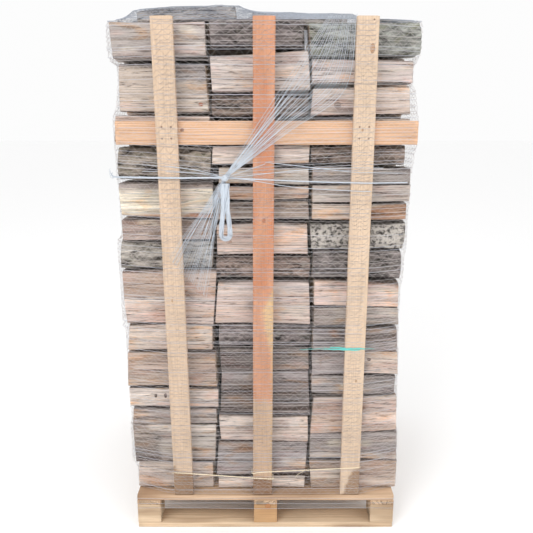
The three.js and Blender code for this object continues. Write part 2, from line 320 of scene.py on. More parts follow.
def birchMaterial():
    material, tree, shader, tone, place = startMaterial("birch bark", 0.8)
    blotch = grainNoise(tree, place, (58, 70, 70), 6, 0.72, 0.3)
    fleck = grainNoise(tree, place, (150, 40, 40), 3, 0.6)
    peel = grainNoise(tree, place, (10, 18, 18), 3, 0.5)
    colour = shaded(tree, tone.outputs["Color"], peel, (0.3, 0.82), (0.7, 1.12))
    dark = ramp(tree, blotch, (0.43, 1.0), (0.52, 0.0))
    colour = blendColour(tree, dark, colour, (0.05, 0.045, 0.04, 1))
    line = ramp(tree, fleck, (0.3, 0.85), (0.4, 0.0))
    colour = blendColour(tree, line, colour, (0.16, 0.14, 0.13, 1))
    tree.links.new(colour, shader.inputs["Base Color"])
    addRelief(tree, shader, maths(tree, "ADD", blotch, maths(tree, "MULTIPLY", fleck, 0.3)), 0.006, 0.7)
    return material


def endGrainMaterial():
    material, tree, shader, tone, place = startMaterial("end grain", 0.9)
    parts, reach = fromHeart(tree, place)
    wobble = grainNoise(tree, place, (20, 30, 30), 3, 0.5)
    pushed = maths(tree, "MULTIPLY_ADD", wobble, 0.012, reach)
    rings = yearRings(tree, pushed, 0.0058)
    year = ramp(tree, zeroToOne(tree, rings), (0.1, 0.66), (0.7, 1.08))
    core = ramp(tree, pushed, (0.012, 0.7), (0.034, 0.84), (0.048, 1.06))
    angle = maths(tree, "ARCTAN2", parts[1], parts[2])
    swept = maths(tree, "MULTIPLY", angle, 5.0)
    outwards = maths(tree, "MULTIPLY", reach, 9.0)
    ray = addNode(tree, "ShaderNodeCombineXYZ", {"X": swept, "Y": parts[0], "Z": outwards}).outputs[0]
    split = grainNoise(tree, ray, (1.6, 11, 1), 3, 0.55)
    crack = maths(tree, "ABSOLUTE", maths(tree, "SUBTRACT", split, 0.5))
    cracked = ramp(tree, crack, (0.0, 0.16), (0.012, 0.45), (0.03, 1.0))
    dirt = grainNoise(tree, place, (20, 26, 26), 5, 0.65)
    saw = grainNoise(tree, place, (5, 300, 25), 3, 0.6)
    colour = multiplied(tree, tone.outputs["Color"], year)
    colour = multiplied(tree, colour, core)
    colour = shaded(tree, colour, dirt, (0.3, 0.74), (0.7, 1.14))
    colour = shaded(tree, colour, saw, (0.3, 0.9), (0.7, 1.07))
    colour = multiplied(tree, colour, cracked)
    tree.links.new(colour, shader.inputs["Base Color"])
    height = maths(tree, "MULTIPLY", maths(tree, "ADD", saw, maths(tree, "MULTIPLY", dirt, 0.5)), cracked)
    addRelief(tree, shader, height, 0.003, 0.7)
    return material


def pineMaterial(name, spacing, *lateStops):
    material, tree, shader, tone, place = startMaterial(name, 0.72)
    _, reach = fromHeart(tree, place)
    drift = grainNoise(tree, place, (1.3, 5, 5), 2, 0.5)
    pushed = maths(tree, "MULTIPLY_ADD", drift, 0.035, reach)
    rings = yearRings(tree, pushed, spacing)
    late = ramp(tree, zeroToOne(tree, rings), *lateStops)
    fibre = grainNoise(tree, place, (9, 330, 330), 4, 0.6)
    patch = grainNoise(tree, place, (4, 16, 16), 4, 0.6, 0.5)
    warmLate = blendColour(tree, late, (1.0, 0.62, 0.42, 1), (1.0, 1.0, 1.0, 1))
    colour = multiplied(tree, tone.outputs["Color"], warmLate)
    colour = multiplied(tree, colour, late)
    colour = shaded(tree, colour, fibre, (0.3, 0.86), (0.7, 1.08))
    colour = shaded(tree, colour, patch, (0.3, 0.88), (0.7, 1.06))
    stained = multiplied(tree, colour, (0.42, 0.34, 0.28, 1))
    soaked = maths(tree, "MULTIPLY", tone.outputs["Alpha"], ramp(tree, patch, (0.3, 0.75), (0.6, 1.0)))
    colour = blendColour(tree, soaked, colour, stained)
    tree.links.new(colour, shader.inputs["Base Color"])
    addRelief(tree, shader, maths(tree, "ADD", fibre, maths(tree, "MULTIPLY", rings, 0.12)), 0.0016, 0.6)
    return material


def knotMaterial():
    material, tree, shader, tone, place = startMaterial("wood knot", 0.7)
    reach = addNode(tree, "ShaderNodeVectorMath", {0: place}, operation="LENGTH").outputs["Value"]
    wobble = grainNoise(tree, place, (2, 2, 2), 3, 0.6)
    pushed = maths(tree, "MULTIPLY_ADD", wobble, 0.5, reach)
    rings = maths(tree, "SINE", maths(tree, "MULTIPLY", pushed, 16.0))
    shade = ramp(tree, zeroToOne(tree, rings), (0.1, 0.7), (0.9, 1.15))
    colour = multiplied(tree, tone.outputs["Color"], shade)
    tree.links.new(colour, shader.inputs["Base Color"])
    addRelief(tree, shader, rings, 0.0006, 0.5)
    return material


def threadMaterial(name, colour, roughness):
    material, tree, shader = newMaterial(name, roughness)
    shader.inputs["Sheen Weight"].default_value = 0.3
    coordinates = addNode(tree, "ShaderNodeTexCoord").outputs["Object"]
    twist = grainNoise(tree, coordinates, (420, 420, 700), 2, 0.5)
    fade = grainNoise(tree, coordinates, (9, 9, 9), 2, 0.5)
    shade = shaded(tree, (*colour, 1), twist, (0.3, 0.82), (0.7, 1.08))
    shade = shaded(tree, shade, fade, (0.3, 0.9), (0.7, 1.05))
    tree.links.new(shade, shader.inputs["Base Color"])
    addRelief(tree, shader, twist, 0.0006, 0.5)
    return material


def nailMaterial():
    material, tree, shader = newMaterial("nail steel", 0.5)
    shader.inputs["Metallic"].default_value = 0.8
    coordinates = addNode(tree, "ShaderNodeTexCoord").outputs["Object"]
    rust = grainNoise(tree, coordinates, (300, 300, 300), 4, 0.6)
    colour = ramp(tree, rust, (0.4, (0.23, 0.2, 0.19)), (0.6, (0.26, 0.13, 0.07)))
    tree.links.new(colour, shader.inputs["Base Color"])
    return material


splitFace = splitFaceMaterial()
bark = barkMaterial()
birchBark = birchMaterial()
endGrain = endGrainMaterial()
sawnPine = pineMaterial("sawn pine", 0.0075, (0.3, 1.03), (0.75, 0.94), (1.0, 0.84))
palePine = pineMaterial("pale pine", 0.0052, (0.2, 1.02), (0.7, 0.99), (1.0, 0.95))
woodKnot = knotMaterial()
netWhite = threadMaterial("net thread", (0.66, 0.68, 0.76), 0.5)
netFaint = threadMaterial("faint net thread", (0.6, 0.545, 0.535), 0.6)
# Painted shade: the same net thread as the rest, coloured a darker blue-grey for the top of the heap to stand
# in for the shade it lies in.
netShade = threadMaterial("net thread over the top in painted shade", (0.38, 0.42, 0.5), 0.6)
knotWhite = threadMaterial("gathered thread", (0.59, 0.645, 0.715), 0.5)
tealThread = threadMaterial("teal thread", (0.13, 0.6, 0.55), 0.6)
twineFibre = threadMaterial("twine fibre", (0.88, 0.76, 0.56), 0.85)
nailSteel = nailMaterial()
logMaterials = [splitFace, bark, birchBark, endGrain]
print("materials made")


# Finishes a log's faces can have: the kind of surface, its colour, and how weathered or mossy it is.
finishes = {
    "greyFace": (0, (0.56, 0.485, 0.43), 0.6),
    "paleFace": (0, (0.75, 0.64, 0.56), 0.2),
    "pinkFace": (0, (0.77, 0.61, 0.51), 0.25),
    "brightFace": (0, (0.86, 0.72, 0.62), 0.1),
    "creamFace": (0, (0.77, 0.69, 0.55), 0.1),
    "beigeFace": (0, (0.71, 0.59, 0.49), 0.4),
    "warmFace": (0, (0.6, 0.46, 0.37), 0.5),
    "brownFace": (0, (0.46, 0.37, 0.31), 0.7),
    "rustFace": (0, (0.5, 0.3, 0.2), 0.4),
    "coolFace": (0, (0.42, 0.37, 0.345), 0.7),
    "darkFace": (0, (0.29, 0.245, 0.222), 0.9),
    "brownBark": (1, (0.29, 0.22, 0.18), 0.1),
    "greyBark": (1, (0.42, 0.37, 0.33), 0.2),
    "mossBark": (1, (0.36, 0.3, 0.245), 0.5),
    "greenBark": (1, (0.34, 0.335, 0.3), 0.75),
    "darkBark": (1, (0.26, 0.22, 0.205), 0.1),
    "birchBark": (2, (0.56, 0.5, 0.45), 0.3),
}
splitChoices = ["greyFace", "paleFace", "pinkFace", "beigeFace", "warmFace", "coolFace", "brownFace"]
barkChoices = ["brownBark", "greyBark", "mossBark", "darkBark", "brownBark", "darkBark", "birchBark"]
endChoices = [
    (0.64, 0.49, 0.37), (0.7, 0.55, 0.42), (0.54, 0.43, 0.35), (0.56, 0.5, 0.45), (0.74, 0.58, 0.43),
]


# A log's outline across the grain is a list of (corner, finish of the face that starts there), as (y, z).


def cutOutline(outline, through, outward, finish):
    kept = []
    for (a, face), (b, _) in zip(outline, outline[1:] + outline[:1]):
        heightA = float(np.dot(a - through, outward))
        heightB = float(np.dot(b - through, outward))
        if heightA <= 0:
            kept.append((a, face))
        if (heightA <= 0) != (heightB <= 0):
            cross = a + (b - a) * heightA / (heightA - heightB)
            kept.append((cross, finish if heightA <= 0 else face))
    return kept


def cutRound(outline, centre, radius, finish, aim, spread=100, steps=11):
    for k in range(steps):
        turn = math.radians(aim - spread + 2 * spread * k / (steps - 1))
        outward = np.array([math.cos(turn), math.sin(turn)])
        outline = cutOutline(outline, centre + outward * radius, outward, finish)
    return outline


# Spaces points evenly round an outline, closer together on the side that shows.
def resampleOutline(outline, around, fineSide):
    corners = np.array([corner for corner, _ in outline])
    following = np.roll(corners, -1, axis=0)
    edges = following - corners
    lengths = np.linalg.norm(edges, axis=1)
    outwardY = edges[:, 1] / np.maximum(lengths, 1e-9)
    weights = lengths * np.where(outwardY * fineSide > 0.25, 2.4, 1.0)
    ends = np.cumsum(weights)
    targets = (np.arange(around) + 0.5) / around * ends[-1]
    index = np.minimum(np.searchsorted(ends, targets), len(outline) - 1)
    share = 1 - (ends[index] - targets) / np.maximum(weights[index], 1e-12)
    ring = corners[index] + edges[index] * share[:, None]
    for _ in range(1 if fineSide else 2):
        ring = 0.25 * np.roll(ring, 1, axis=0) + 0.5 * ring + 0.25 * np.roll(ring, -1, axis=0)
    return ring, [outline[i][1] for i in index]


logShape = {
    "capInset": 0.004,
    "endShrink": 0.982,
    "taper": 0.09,
    "twist": 3,  # degrees
    "bow": 0.004,
    "tilt": 0.006,
    "slant": 0.09,  # how much a cut end leans
    "slantReach": 0.1,
    "ledge": 0.0011,
    "splitRelief": ((5, 22, 22, 0.0024), (9, 62, 62, 0.0012), (24, 170, 170, 0.0006)),
    "barkRelief": ((7, 20, 20, 0.003), (18, 58, 58, 0.0048), (60, 150, 150, 0.0014)),
    "furrowed": 0.004,  # a layer deeper than this has furrows
    "paintedGapShade": 0.55,  # painted shade: how much darker the upper and lower sides of a log in a gap are
    # painted shade goes only on logs that end below this height
    "paintedGapShadeBelow": 1.84,
    "heapFrom": 1.8,
}
logFineness = {  # points around and steps along
    "front": (66, 26),
    "thin": (62, 24),
    "outer": (48, 17),
    "inside": (30, 4),
    "loose": (60, 24),
}
logReach = []  # how far every log reaches, for the net that lies on them
heapPoints = []


def turnFlat(u, v, angle):
    return u * np.cos(angle) - v * np.sin(angle), u * np.sin(angle) + v * np.cos(angle)


def reliefOf(spot, kinds, shift):
    relief = np.zeros(spot.shape[:2])
    split = kinds == 0
    for chosen, layers in ((split, logShape["splitRelief"]), (~split, logShape["barkRelief"])):
        for *scale, depth in layers:
            wave = smoothNoise(spot[:, chosen], scale, shift)
            if depth > logShape["furrowed"]:
                wave = 0.6 - 2.2 * np.abs(wave)
            relief[:, chosen] += wave * depth
    ledges = np.tanh(6 * smoothNoise(spot[:, split], (2.5, 26, 26), shift + 5))
    relief[:, split] += logShape["ledge"] * ledges
    return relief - np.maximum(relief, 0) * 0.3


# The colour of each face, with soft patches over it. A patch runs from and to a share of the length and of
# the height.
def tonesOf(faces, patches, spot, alongShare, upShare, facing, shift):
    colours = np.array([finishes[face][1] + (finishes[face][2],) for face in faces])
    tones = np.broadcast_to(colours[None], spot.shape[:2] + (4,)).copy()
    if patches:
        alongShare = alongShare[:, None] + 0.08 * smoothNoise(spot, (14, 30, 30), shift)
        upShare = upShare + 0.08 * smoothNoise(spot, (14, 30, 30), shift + 9)
    for fromX, toX, fromZ, toZ, finish, strength in patches:
        inside = np.clip((alongShare - fromX) * 16, 0, 1) * np.clip((toX - alongShare) * 16, 0, 1)
        inside *= np.clip((upShare - fromZ) * 16, 0, 1) * np.clip((toZ - upShare) * 16, 0, 1)
        inside *= facing[None]
        patchTone = np.array(finishes[finish][1] + (finishes[finish][2],))
        tones += (patchTone - tones) * inside[..., None] * strength
    return tones


# A log runs along X over span. fineSide is -1 or 1 for the front or the back, 0 where neither shows.
def addLog(store, outline, heart, span, rng, around, along, fineSide=0, patches=(), move=None, lean=0.0):
    if len(outline) < 3:
        return
    ring, faces = resampleOutline(outline, around, fineSide)
    tangent = np.roll(ring, -1, axis=0) - np.roll(ring, 1, axis=0)
    outward = np.stack([tangent[:, 1], -tangent[:, 0]], 1)
    outward /= np.maximum(np.linalg.norm(outward, axis=1, keepdims=True), 1e-9)
    kinds = np.array([finishes[face][0] for face in faces])
    middle = ring.mean(0)
    low, high = ring.min(0), ring.max(0)
    length, inset = span[1] - span[0], logShape["capInset"]
    inner = np.linspace(0, 1, along + 1)[1:-1] * length
    steps = np.concatenate([[0, inset], inner, [length - inset, length]])
    share = steps / length - 0.5
    taper = 1 + rng.uniform(-logShape["taper"], logShape["taper"]) * share
    taper[[0, -1]] *= logShape["endShrink"]
    twist = math.radians(rng.uniform(-logShape["twist"], logShape["twist"])) * share
    bow = rng.uniform(-logShape["bow"], logShape["bow"], 2) * (1 - 4 * share[:, None] ** 2)
    bow[:, 1] += (rng.uniform(-logShape["tilt"], logShape["tilt"]) + lean) * share
    shape = (ring - middle)[None] * taper[:, None, None]
    turned = np.stack(turnFlat(shape[..., 0], shape[..., 1], twist[:, None]), -1)
    section = middle + turned + bow[:, None]
    shift = rng.uniform(0, 30, 3)
    spot = np.concatenate([np.broadcast_to(steps[:, None, None], section.shape[:2] + (1,)), section], -1)
    section = section + outward[None] * reliefOf(spot, kinds, shift)[..., None]
    slant = rng.uniform(-logShape["slant"], logShape["slant"], (2, 2))
    x = np.broadcast_to((span[0] + steps)[:, None], section.shape[:2]).copy()
    for end, at in ((0, 0), (1, -1)):
        reachOut = (section[at] - middle) @ slant[end]
        fade = np.clip(1 - np.abs(steps - steps[at]) / logShape["slantReach"], 0, 1)
        x += fade[:, None] * reachOut[None]
    rings = np.concatenate([x[..., None], section], -1)
    points, faceList, sideCount = closedSolid(rings)
    endStart = rings.shape[0] * around
    variation = np.array([1.0, 1.015, 1.035]) * rng.uniform(0.92, 1.07) + rng.uniform(-0.015, 0.015, 3)
    upShare = (section[..., 1] - low[1]) / (high[1] - low[1])
    facing = outward[:, 0] * (fineSide or -1) > -0.1
    tones = tonesOf(faces, patches, spot, steps / length, upShare, facing, shift)
    # Painted shade: on front and back logs that end below the heap's top, the upper and lower sides are
    # darkened to stand in for the shade in the gaps between logs.
    if fineSide and high[1] < logShape["paintedGapShadeBelow"]:
        paintedGapShade = 1 - logShape["paintedGapShade"] * np.clip((np.abs(outward[:, 1]) - 0.75) * 6, 0, 1)
        tones[..., :3] *= paintedGapShade[None, :, None]
    tones[..., :3] *= variation
    endTone = np.append(np.array(endChoices[rng.integers(len(endChoices))]) * rng.uniform(0.85, 1.1), 0.3)
    tones = np.concatenate([tones.reshape(-1, 4), np.broadcast_to(endTone, (len(points) - endStart, 4))])
    places = points - np.array([span[0], heart[0], heart[1]])
    places[:, 0] += shift[0]
    sideKinds = np.tile(kinds, rings.shape[0] - 1)
    capCount = (len(faceList) - sideCount) // 2
    rim = np.where(kinds > 0, 1, 3)
    capKinds = np.concatenate([rim, np.full(capCount - around, 3)])
    if move is not None:
        points = move(points)
    heapPoints.append(points[points[:, 2] > logShape["heapFrom"]])
    addToStore(store, points, faceList, np.concatenate([sideKinds, capKinds, capKinds]), tones, places)
    logReach.append((points.min(0), points.max(0)))


# The front logs of each column from the deck up. Each has its course height in mm, its faces, how far it
# is set back, how far its two ends stand out, and its patches. A face is (lean back in degrees, the height
# share it passes through, finish). One name alone means that the log shows its round bark side.
frontLogs = {
    "left": [
        (115, [(4, 0.35, "beigeFace"), (26, 0.86, "paleFace")], 8, (14, -12),
         [(0.0, 0.35, 0.0, 0.5, "warmFace")]),
        (160, [(3, 0.3, "greyFace"), (17, 0.72, "paleFace")], 0, (0, 0),
         [(-1, 0.36, -1, 0.7, "darkFace"), (-1, 0.25, 0.6, 2, "brownFace")]),
        (72, [(5, 0.5, "greyFace")], 6, (2, 2), []),
        (82, [(-3, 0.5, "paleFace")], 2, (-3, 11), []),
        (146, [(7, 0.3, "warmFace"), (22, 0.78, "beigeFace")], 4, (-4, 8),
         [(0.1, 2, 0.46, 0.53, "darkFace")]),
        (103, [(3, 0.5, "beigeFace")], 10, (0, -4), []),
        (213, [(-4, 0.25, "pinkFace"), (13, 0.55, "warmFace"), (34, 0.93, "brownFace")], 0, (-7, 3), []),
        (106, "greyBark", 2, (-11, 2), []),
        (83, [(7, 0.5, "brownFace")], 8, (2, 0), []),
        (130, [(1, 0.3, "creamFace"), (30, 0.84, "greyFace")], 0, (6, 4), [(-1, 2, -1, 0.1, "rustFace")]),
        (123, "mossBark", 4, (-2, -2), []),
        (106, [(3, 0.5, "pinkFace")], 12, (-3, 0), []),
        (177, [(3, 0.35, "beigeFace"), (13, 0.8, "greyFace")], 6, (19, -2), [(0.55, 2, 0.6, 2, "coolFace")]),
        (120, [(5, 0.35, "greyFace"), (18, 0.85, "beigeFace")], 0, (-3, -8), []),
    ],
    "middle": [
        (53, [(2, 0.5, "paleFace")], 0, (-10, 8), []),
        (149, [(5, 0.35, "coolFace"), (24, 0.82, "darkFace")], 6, (-16, 10), []),
        (115, [(-2, 0.4, "pinkFace"), (12, 0.7, "brightFace")], 0, (-4, 14), []),
        (178, [(4, 0.3, "darkFace"), (18, 0.7, "coolFace")], 4, (1, 16), [(0.3, 2, 0.5, 0.9, "darkBark")]),
        (88, [(10, 0.5, "darkFace")], 14, (0, 14), []),
        (98, "darkBark", 6, (-4, 14), []),
        (172, [(0, 0.3, "pinkFace"), (9, 0.7, "paleFace")], 0, (-4, 12), []),
        (89, "brownBark", 10, (-6, 10), []),
        (127, [(1, 0.4, "pinkFace"), (14, 0.85, "paleFace")], 2, (-5, 2), []),
        (75, [(9, 0.5, "brownFace")], 12, (-6, 0), []),
        (52, [(4, 0.5, "warmFace")], 8, (-2, 0), []),
        (69, [(5, 0.5, "beigeFace")], 5, (8, 0), [(0.5, 2, -1, 2, "greyFace")]),
        (71, [(2, 0.5, "paleFace")], 3, (-8, -2), []),
        (87, "darkBark", 12, (-6, -4), []),
        (85, "brownBark", 10, (-8, -4), []),
        (142, [(3, 0.4, "paleFace"), (16, 0.85, "beigeFace")], 2, (-10, -6), []),
        (100, "darkBark", 18, (-12, -20), []),
    ],
    "right": [
        (124, [(4, 0.4, "warmFace"), (22, 0.84, "coolFace")], 4, (0, 18),
         [(-1, 0.4, 0.25, 0.7, "beigeFace")]),
        (117, [(6, 0.4, "coolFace"), (26, 0.84, "greyFace")], 0, (-4, 14), []),
        (160, [(3, 0.35, "warmFace"), (17, 0.8, "beigeFace")], 2, (4, 2), [(0.6, 2, 0.2, 0.9, "pinkFace")]),
        (77, [(9, 0.5, "coolFace")], 8, (-4, -2), []),
        (97, [(2, 0.5, "coolFace")], 4, (2, 0), [(0.6, 2, -1, 2, "beigeFace")]),
        (99, [(5, 0.35, "coolFace"), (16, 0.8, "greyFace")], 6, (-2, -6),
         [(0.18, 0.34, 0.5, 0.95, "rustFace")]),
        (73, [(4, 0.5, "greyFace")], 3, (0, -8), []),
        (106, [(2, 0.4, "pinkFace"), (15, 0.85, "warmFace")], 8, (-2, -8), []),
        (108, "darkBark", 0, (-4, -4), []),
        (108, "birchBark", 2, (-14, 2), []),
        (64, [(9, 0.5, "rustFace")], 10, (-12, 4), [(-1, 0.6, -1, 2, "pinkFace")]),
        (67, [(3, 0.5, "greyFace")], 4, (-14, 8), []),
        (65, [(12, 0.5, "coolFace")], 8, (-12, 6), []),
        (68, "brownBark", 6, (-16, -12), []),
        (96, [(3, 0.5, "beigeFace")], 12, (-14, 0), []),
        (104, [(4, 0.4, "beigeFace"), (18, 0.85, "paleFace")], 4, (-16, -8), []),
        (90, [(5, 0.5, "paleFace")], 8, (-20, -4), []),
        (111, "greenBark", 0, (-28, 15), []),
    ],
}

stackSetup = {
    "courseGap": 0.0032,
    "wideGaps": {
        "left": {13: 0.014, 12: 0.006, 10: 0.006, 9: 0.005, 7: 0.006, 5: 0.007, 3: 0.005},
        "middle": {16: 0.013, 15: 0.006, 14: 0.006, 12: 0.008, 10: 0.006, 9: 0.008, 7: 0.006, 3: 0.006},
        "right": {17: 0.009, 16: 0.007, 15: 0.008, 13: 0.006, 10: 0.008, 8: 0.006, 6: 0.005, 3: 0.008},
    },
    "leans": {
        "left": {14: 0.006, 10: -0.008, 7: 0.006, 4: 0.007, 1: -0.006},
        "middle": {16: 0.013, 13: -0.006, 9: 0.004, 7: 0.004, 4: -0.006, 2: 0.006},
        "right": {16: 0.005, 15: 0.004, 8: -0.007, 5: 0.007, 3: 0.008, 2: -0.008},
    },
    "faceHeart": 0.07,  # from the stack's face to the middle of a log there
    "backDrop": 0.012,  # how much lower the back is
    "rows": 15,
    "rowStart": 0.056,
    "rowStep": 0.1165,
    "stagger": 0.045,
    "deepCount": 5,
    "deepStart": 0.205,
    "deepStep": 0.126,
    "jitter": 0.024,
    "lowestHeart": 0.045,  # above the deck
    "highestHeart": 1.846,
    "innerRadius": (0.045, 0.078),
    "innerTop": 1.9,
    "neighbours": 0.4,  # logs further away than this don't share an edge
    "gap": 0.003,
    "overhang": 0.008,
    "frontInset": 0.0045,  # from the column's side to a log's end
    "hiddenInset": 0.01,
}
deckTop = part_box("pallet_deck_board_1")[1].z + 0.002
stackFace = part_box("log_left_02")[0].y


# The logs at the back are as uneven as the front ones: a height, faces and a set back for each.
def backLogs(total, rng):
    heights = []
    while sum(heights) < total:
        heights.append(rng.choice([0.062, 0.085, 0.1, 0.115, 0.13, 0.15, 0.175]))
    scale = total / sum(heights)
    logs = []
    for high in heights:
        first, second = (splitChoices[i] for i in rng.integers(len(splitChoices), size=2))
        faces = [(rng.uniform(-3, 8), 0.4, first), (rng.uniform(10, 26), 0.85, second)]
        if rng.random() < 0.3:
            faces = barkChoices[rng.integers(len(barkChoices))]
        logs.append((high * scale, faces, rng.uniform(0, 12)))
    return logs


# A column's logs share its cross-section: each keeps the part nearest its own heart line.
def columnHearts(column, rng):
    front = [(course[0] / 1000, course[1], course[2]) for course in frontLogs[column]]
    total = sum(high for high, _, _ in front)
    hearts = []
    for way, logs in ((-1, front), (1, backLogs(total - stackSetup["backDrop"], rng))):
        z = deckTop
        for number, (high, faces, setBack) in enumerate(logs, 1):
            gap = stackSetup["courseGap"] + stackSetup["wideGaps"][column].get(number, 0.0)
            hearts.append({
                "way": way,
                "number": number,
                "y": way * (-stackFace - stackSetup["faceHeart"]),
                "z": z + high / 2,
                "radius": high / 2,
                "low": z,
                "high": high - gap,
                "faces": faces,
                "setBack": setBack / 1000,
            })
            z += high
    jitter, lastRow = stackSetup["jitter"], stackSetup["rows"] - 1
    lowest, highest = deckTop + stackSetup["lowestHeart"], stackSetup["highestHeart"]
    firstY = stackFace + stackSetup["deepStart"]
    for row in range(stackSetup["rows"]):
        for deep in range(stackSetup["deepCount"]):
            y = firstY + deep * stackSetup["deepStep"] + rng.uniform(-1, 1) * jitter
            raised = stackSetup["stagger"] * (deep % 2) * (0 < row < lastRow)
            z = deckTop + stackSetup["rowStart"] + row * stackSetup["rowStep"] + raised
            z = np.clip(z + rng.uniform(-1, 1) * jitter, lowest, highest)
            radius = rng.uniform(*stackSetup["innerRadius"])
            hearts.append({"way": 0, "y": y, "z": z, "radius": radius, "top": row == lastRow})
    return hearts


def shareOf(heart, hearts, face):
    bottom, top = deckTop, heart["low"] + heart["high"] if heart["way"] else stackSetup["innerTop"]
    corners = [(stackFace, bottom), (-stackFace, bottom), (-stackFace, top), (stackFace, top)]
    outline = [(np.array(corner), face) for corner in corners]
    own = np.array([heart["y"], heart["z"]])
    for other in hearts:
        away = np.array([other["y"], other["z"]]) - own
        distance = float(np.hypot(*away))
        if other is heart or distance > stackSetup["neighbours"]:
            continue
        reach = (distance**2 + heart["radius"] ** 2 - other["radius"] ** 2) / (2 * distance)
        outward = away / distance
        outline = cutOutline(outline, own + outward * (reach - stackSetup["gap"]), outward, face)
    return outline


def faceOutline(heart, hearts, rng):
    faces, way = heart["faces"], heart["way"]
    isBark = isinstance(faces, str)
    hidden = faces if isBark else splitChoices[rng.integers(len(splitChoices))]
    outline = shareOf(heart, hearts, hidden)
    faceY = way * (-stackFace - heart["setBack"] - 0.002)
    low, high = heart["low"], heart["high"]
    if isBark:
        radius = high * 0.62
        centre = np.array([faceY - way * radius, low + high / 2])
        return cutRound(outline, centre, radius, faces, 180 if way < 0 else 0, 85)
    for lean, through, face in faces:
        turn = math.radians(lean)
        outward = np.array([way * math.cos(turn), math.sin(turn)])
        outline = cutOutline(outline, np.array([faceY, low + through * high]), outward, face)
    corner = 0.03 * min(high, 0.1)
    for aim, z in ((-1, low), (1, low + high)):
        outward = np.array([0.6 * way, 0.8 * aim])
        inward = np.array([faceY - way * corner, z])
        outline = cutOutline(outline, inward, outward, faces[-1 if aim > 0 else 0][2])
    return outline


# About one log in five inside stays round. The rest are split, with one curved side of bark.
def innerOutline(heart, hearts, rng):
    face = splitChoices[rng.integers(len(splitChoices))]
    coat = barkChoices[rng.integers(len(barkChoices))]
    outline = shareOf(heart, hearts, face)
    own = np.array([heart["y"], heart["z"]])
    isRound = rng.random() < 0.35
    outline = cutRound(outline, own, rng.uniform(0.058, 0.07) if isRound else 0.088, coat, 90, 180, 17)
    if len(outline) < 3 or (isRound and rng.random() < 0.6):
        return outline, own
    corners = np.array([corner for corner, _ in outline])
    heartLine = corners[rng.integers(len(corners))]
    reach = np.linalg.norm(corners - heartLine, axis=1).max()
    aim = math.degrees(math.atan2(*(own - heartLine)[::-1]))
    return cutRound(outline, heartLine, rng.uniform(0.82, 0.93) * reach, coat, aim, 70), heartLine


# Soft spots of another tone, so that no split face has one even colour.
def strayPatches(seed):
    rng = np.random.default_rng(seed)
    patches = []
    for _ in range(3):
        x, z = rng.uniform(-0.2, 0.85), rng.uniform(-0.2, 0.85)
        wide, high = rng.uniform(0.2, 0.6), rng.uniform(0.12, 0.4)
        finish = ("brownFace", "coolFace", "rustFace", "paleFace", "darkFace", "creamFace")[rng.integers(6)]
        patches.append((x, x + wide, z, z + high, finish, rng.uniform(0.3, 0.65)))
    return patches


# A log that is a CAD solid gets a piece of its own. The others join the piece of their layer.
def stackColumn(column, seed):
    rng = np.random.default_rng(seed)
    low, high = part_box(f"stack_{column}")
    hearts = columnHearts(column, rng)
    thin, behind, outer = newStore(), newStore(), newStore()
    for heart in hearts:
        shift = rng.uniform(-1, 1, 2) * stackSetup["overhang"]
        node, patches = "", []
        if heart["way"] < 0:
            *_, ends, patches = frontLogs[column][heart["number"] - 1]
            patches = [(*patch, 1.0) for patch in patches]
            shift = np.array(ends) / 1000
            node = f"log_{column}_{heart['number']:02d}"
        if heart["way"] and not isinstance(heart["faces"], str):
            patches = strayPatches(1000 * seed + 2 * heart["number"] + heart["way"]) + patches
        inward = stackSetup["frontInset" if node else "hiddenInset"]
        span = (low.x + shift[0] + inward, high.x + shift[1] - inward)
        if heart["way"]:
            outline = faceOutline(heart, hearts, rng)
            away = (rng.uniform(-0.05, 0.06), rng.uniform(-0.06, 0.06))
            heartLine = np.array([heart["y"] + away[0], heart["z"] + away[1]])
        else:
            outline, heartLine = innerOutline(heart, hearts, rng)
        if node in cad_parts:
            store = newStore()
            lean = stackSetup["leans"][column].get(heart["number"], 0.0)
            addLog(store, outline, heartLine, span, rng, *logFineness["front"], -1, patches, lean=lean)
            makePiece(node + "_wood", store, logMaterials, [node])
        elif node:
            addLog(thin, outline, heartLine, span, rng, *logFineness["thin"], -1, patches)
        elif heart["way"] or heart["top"]:
            addLog(outer, outline, heartLine, span, rng, *logFineness["outer"], heart["way"], patches)
        else:
            addLog(behind, outline, heartLine, span, rng, *logFineness["inside"])
    for store, name in ((thin, "front_thin"), (behind, "inside"), (outer, "back_and_top")):
        makePiece(f"logs_{column}_{name}", store, logMaterials, [f"stack_{column}"])


for column, seed in (("left", 11), ("middle", 23), ("right", 37)):
    stackColumn(column, seed)
print("columns stacked")


# Logs that lie loose on the heap: middle, size (depth, height), lean and turn in degrees, finish.
looseLogs = [
    ("log_loose_top", (-0.266, -0.37, 1.902), (0.078, 0.046), 3.9, 4, "greyBark"),
    ("stack_middle", (0.12, -0.3, 1.897), (0.085, 0.046), -2.4, -3, "greyBark"),
]


def addLooseLogs():
    for number, (node, place, size, lean, turn, finish) in enumerate(looseLogs):
        rng = np.random.default_rng(50 + number)
        deep, high = size
        corners = [
            (-0.5, -0.4), (-0.42, -0.5), (0.42, -0.5), (0.5, -0.3), (0.34, 0.3), (0, 0.5), (-0.36, 0.28),
        ]
        outline = [(np.array([u * deep, v * high]), finish) for u, v in corners]
        lift, swing = math.radians(lean), math.radians(turn)

        def move(points):
            x, z = turnFlat(points[:, 0], points[:, 2], lift)
            return np.stack([*turnFlat(x, points[:, 1], swing), z], 1) + np.array(place)

        store = newStore()
        addLog(store, outline, (0.01, 0.0), (-0.165, 0.165), rng, *logFineness["loose"], -1, move=move)
        makePiece(f"log_loose_{number + 1}_wood", store, logMaterials, [node])


addLooseLogs()


# Boards: pallet, battens and rails, with worn edges and sawn ends.

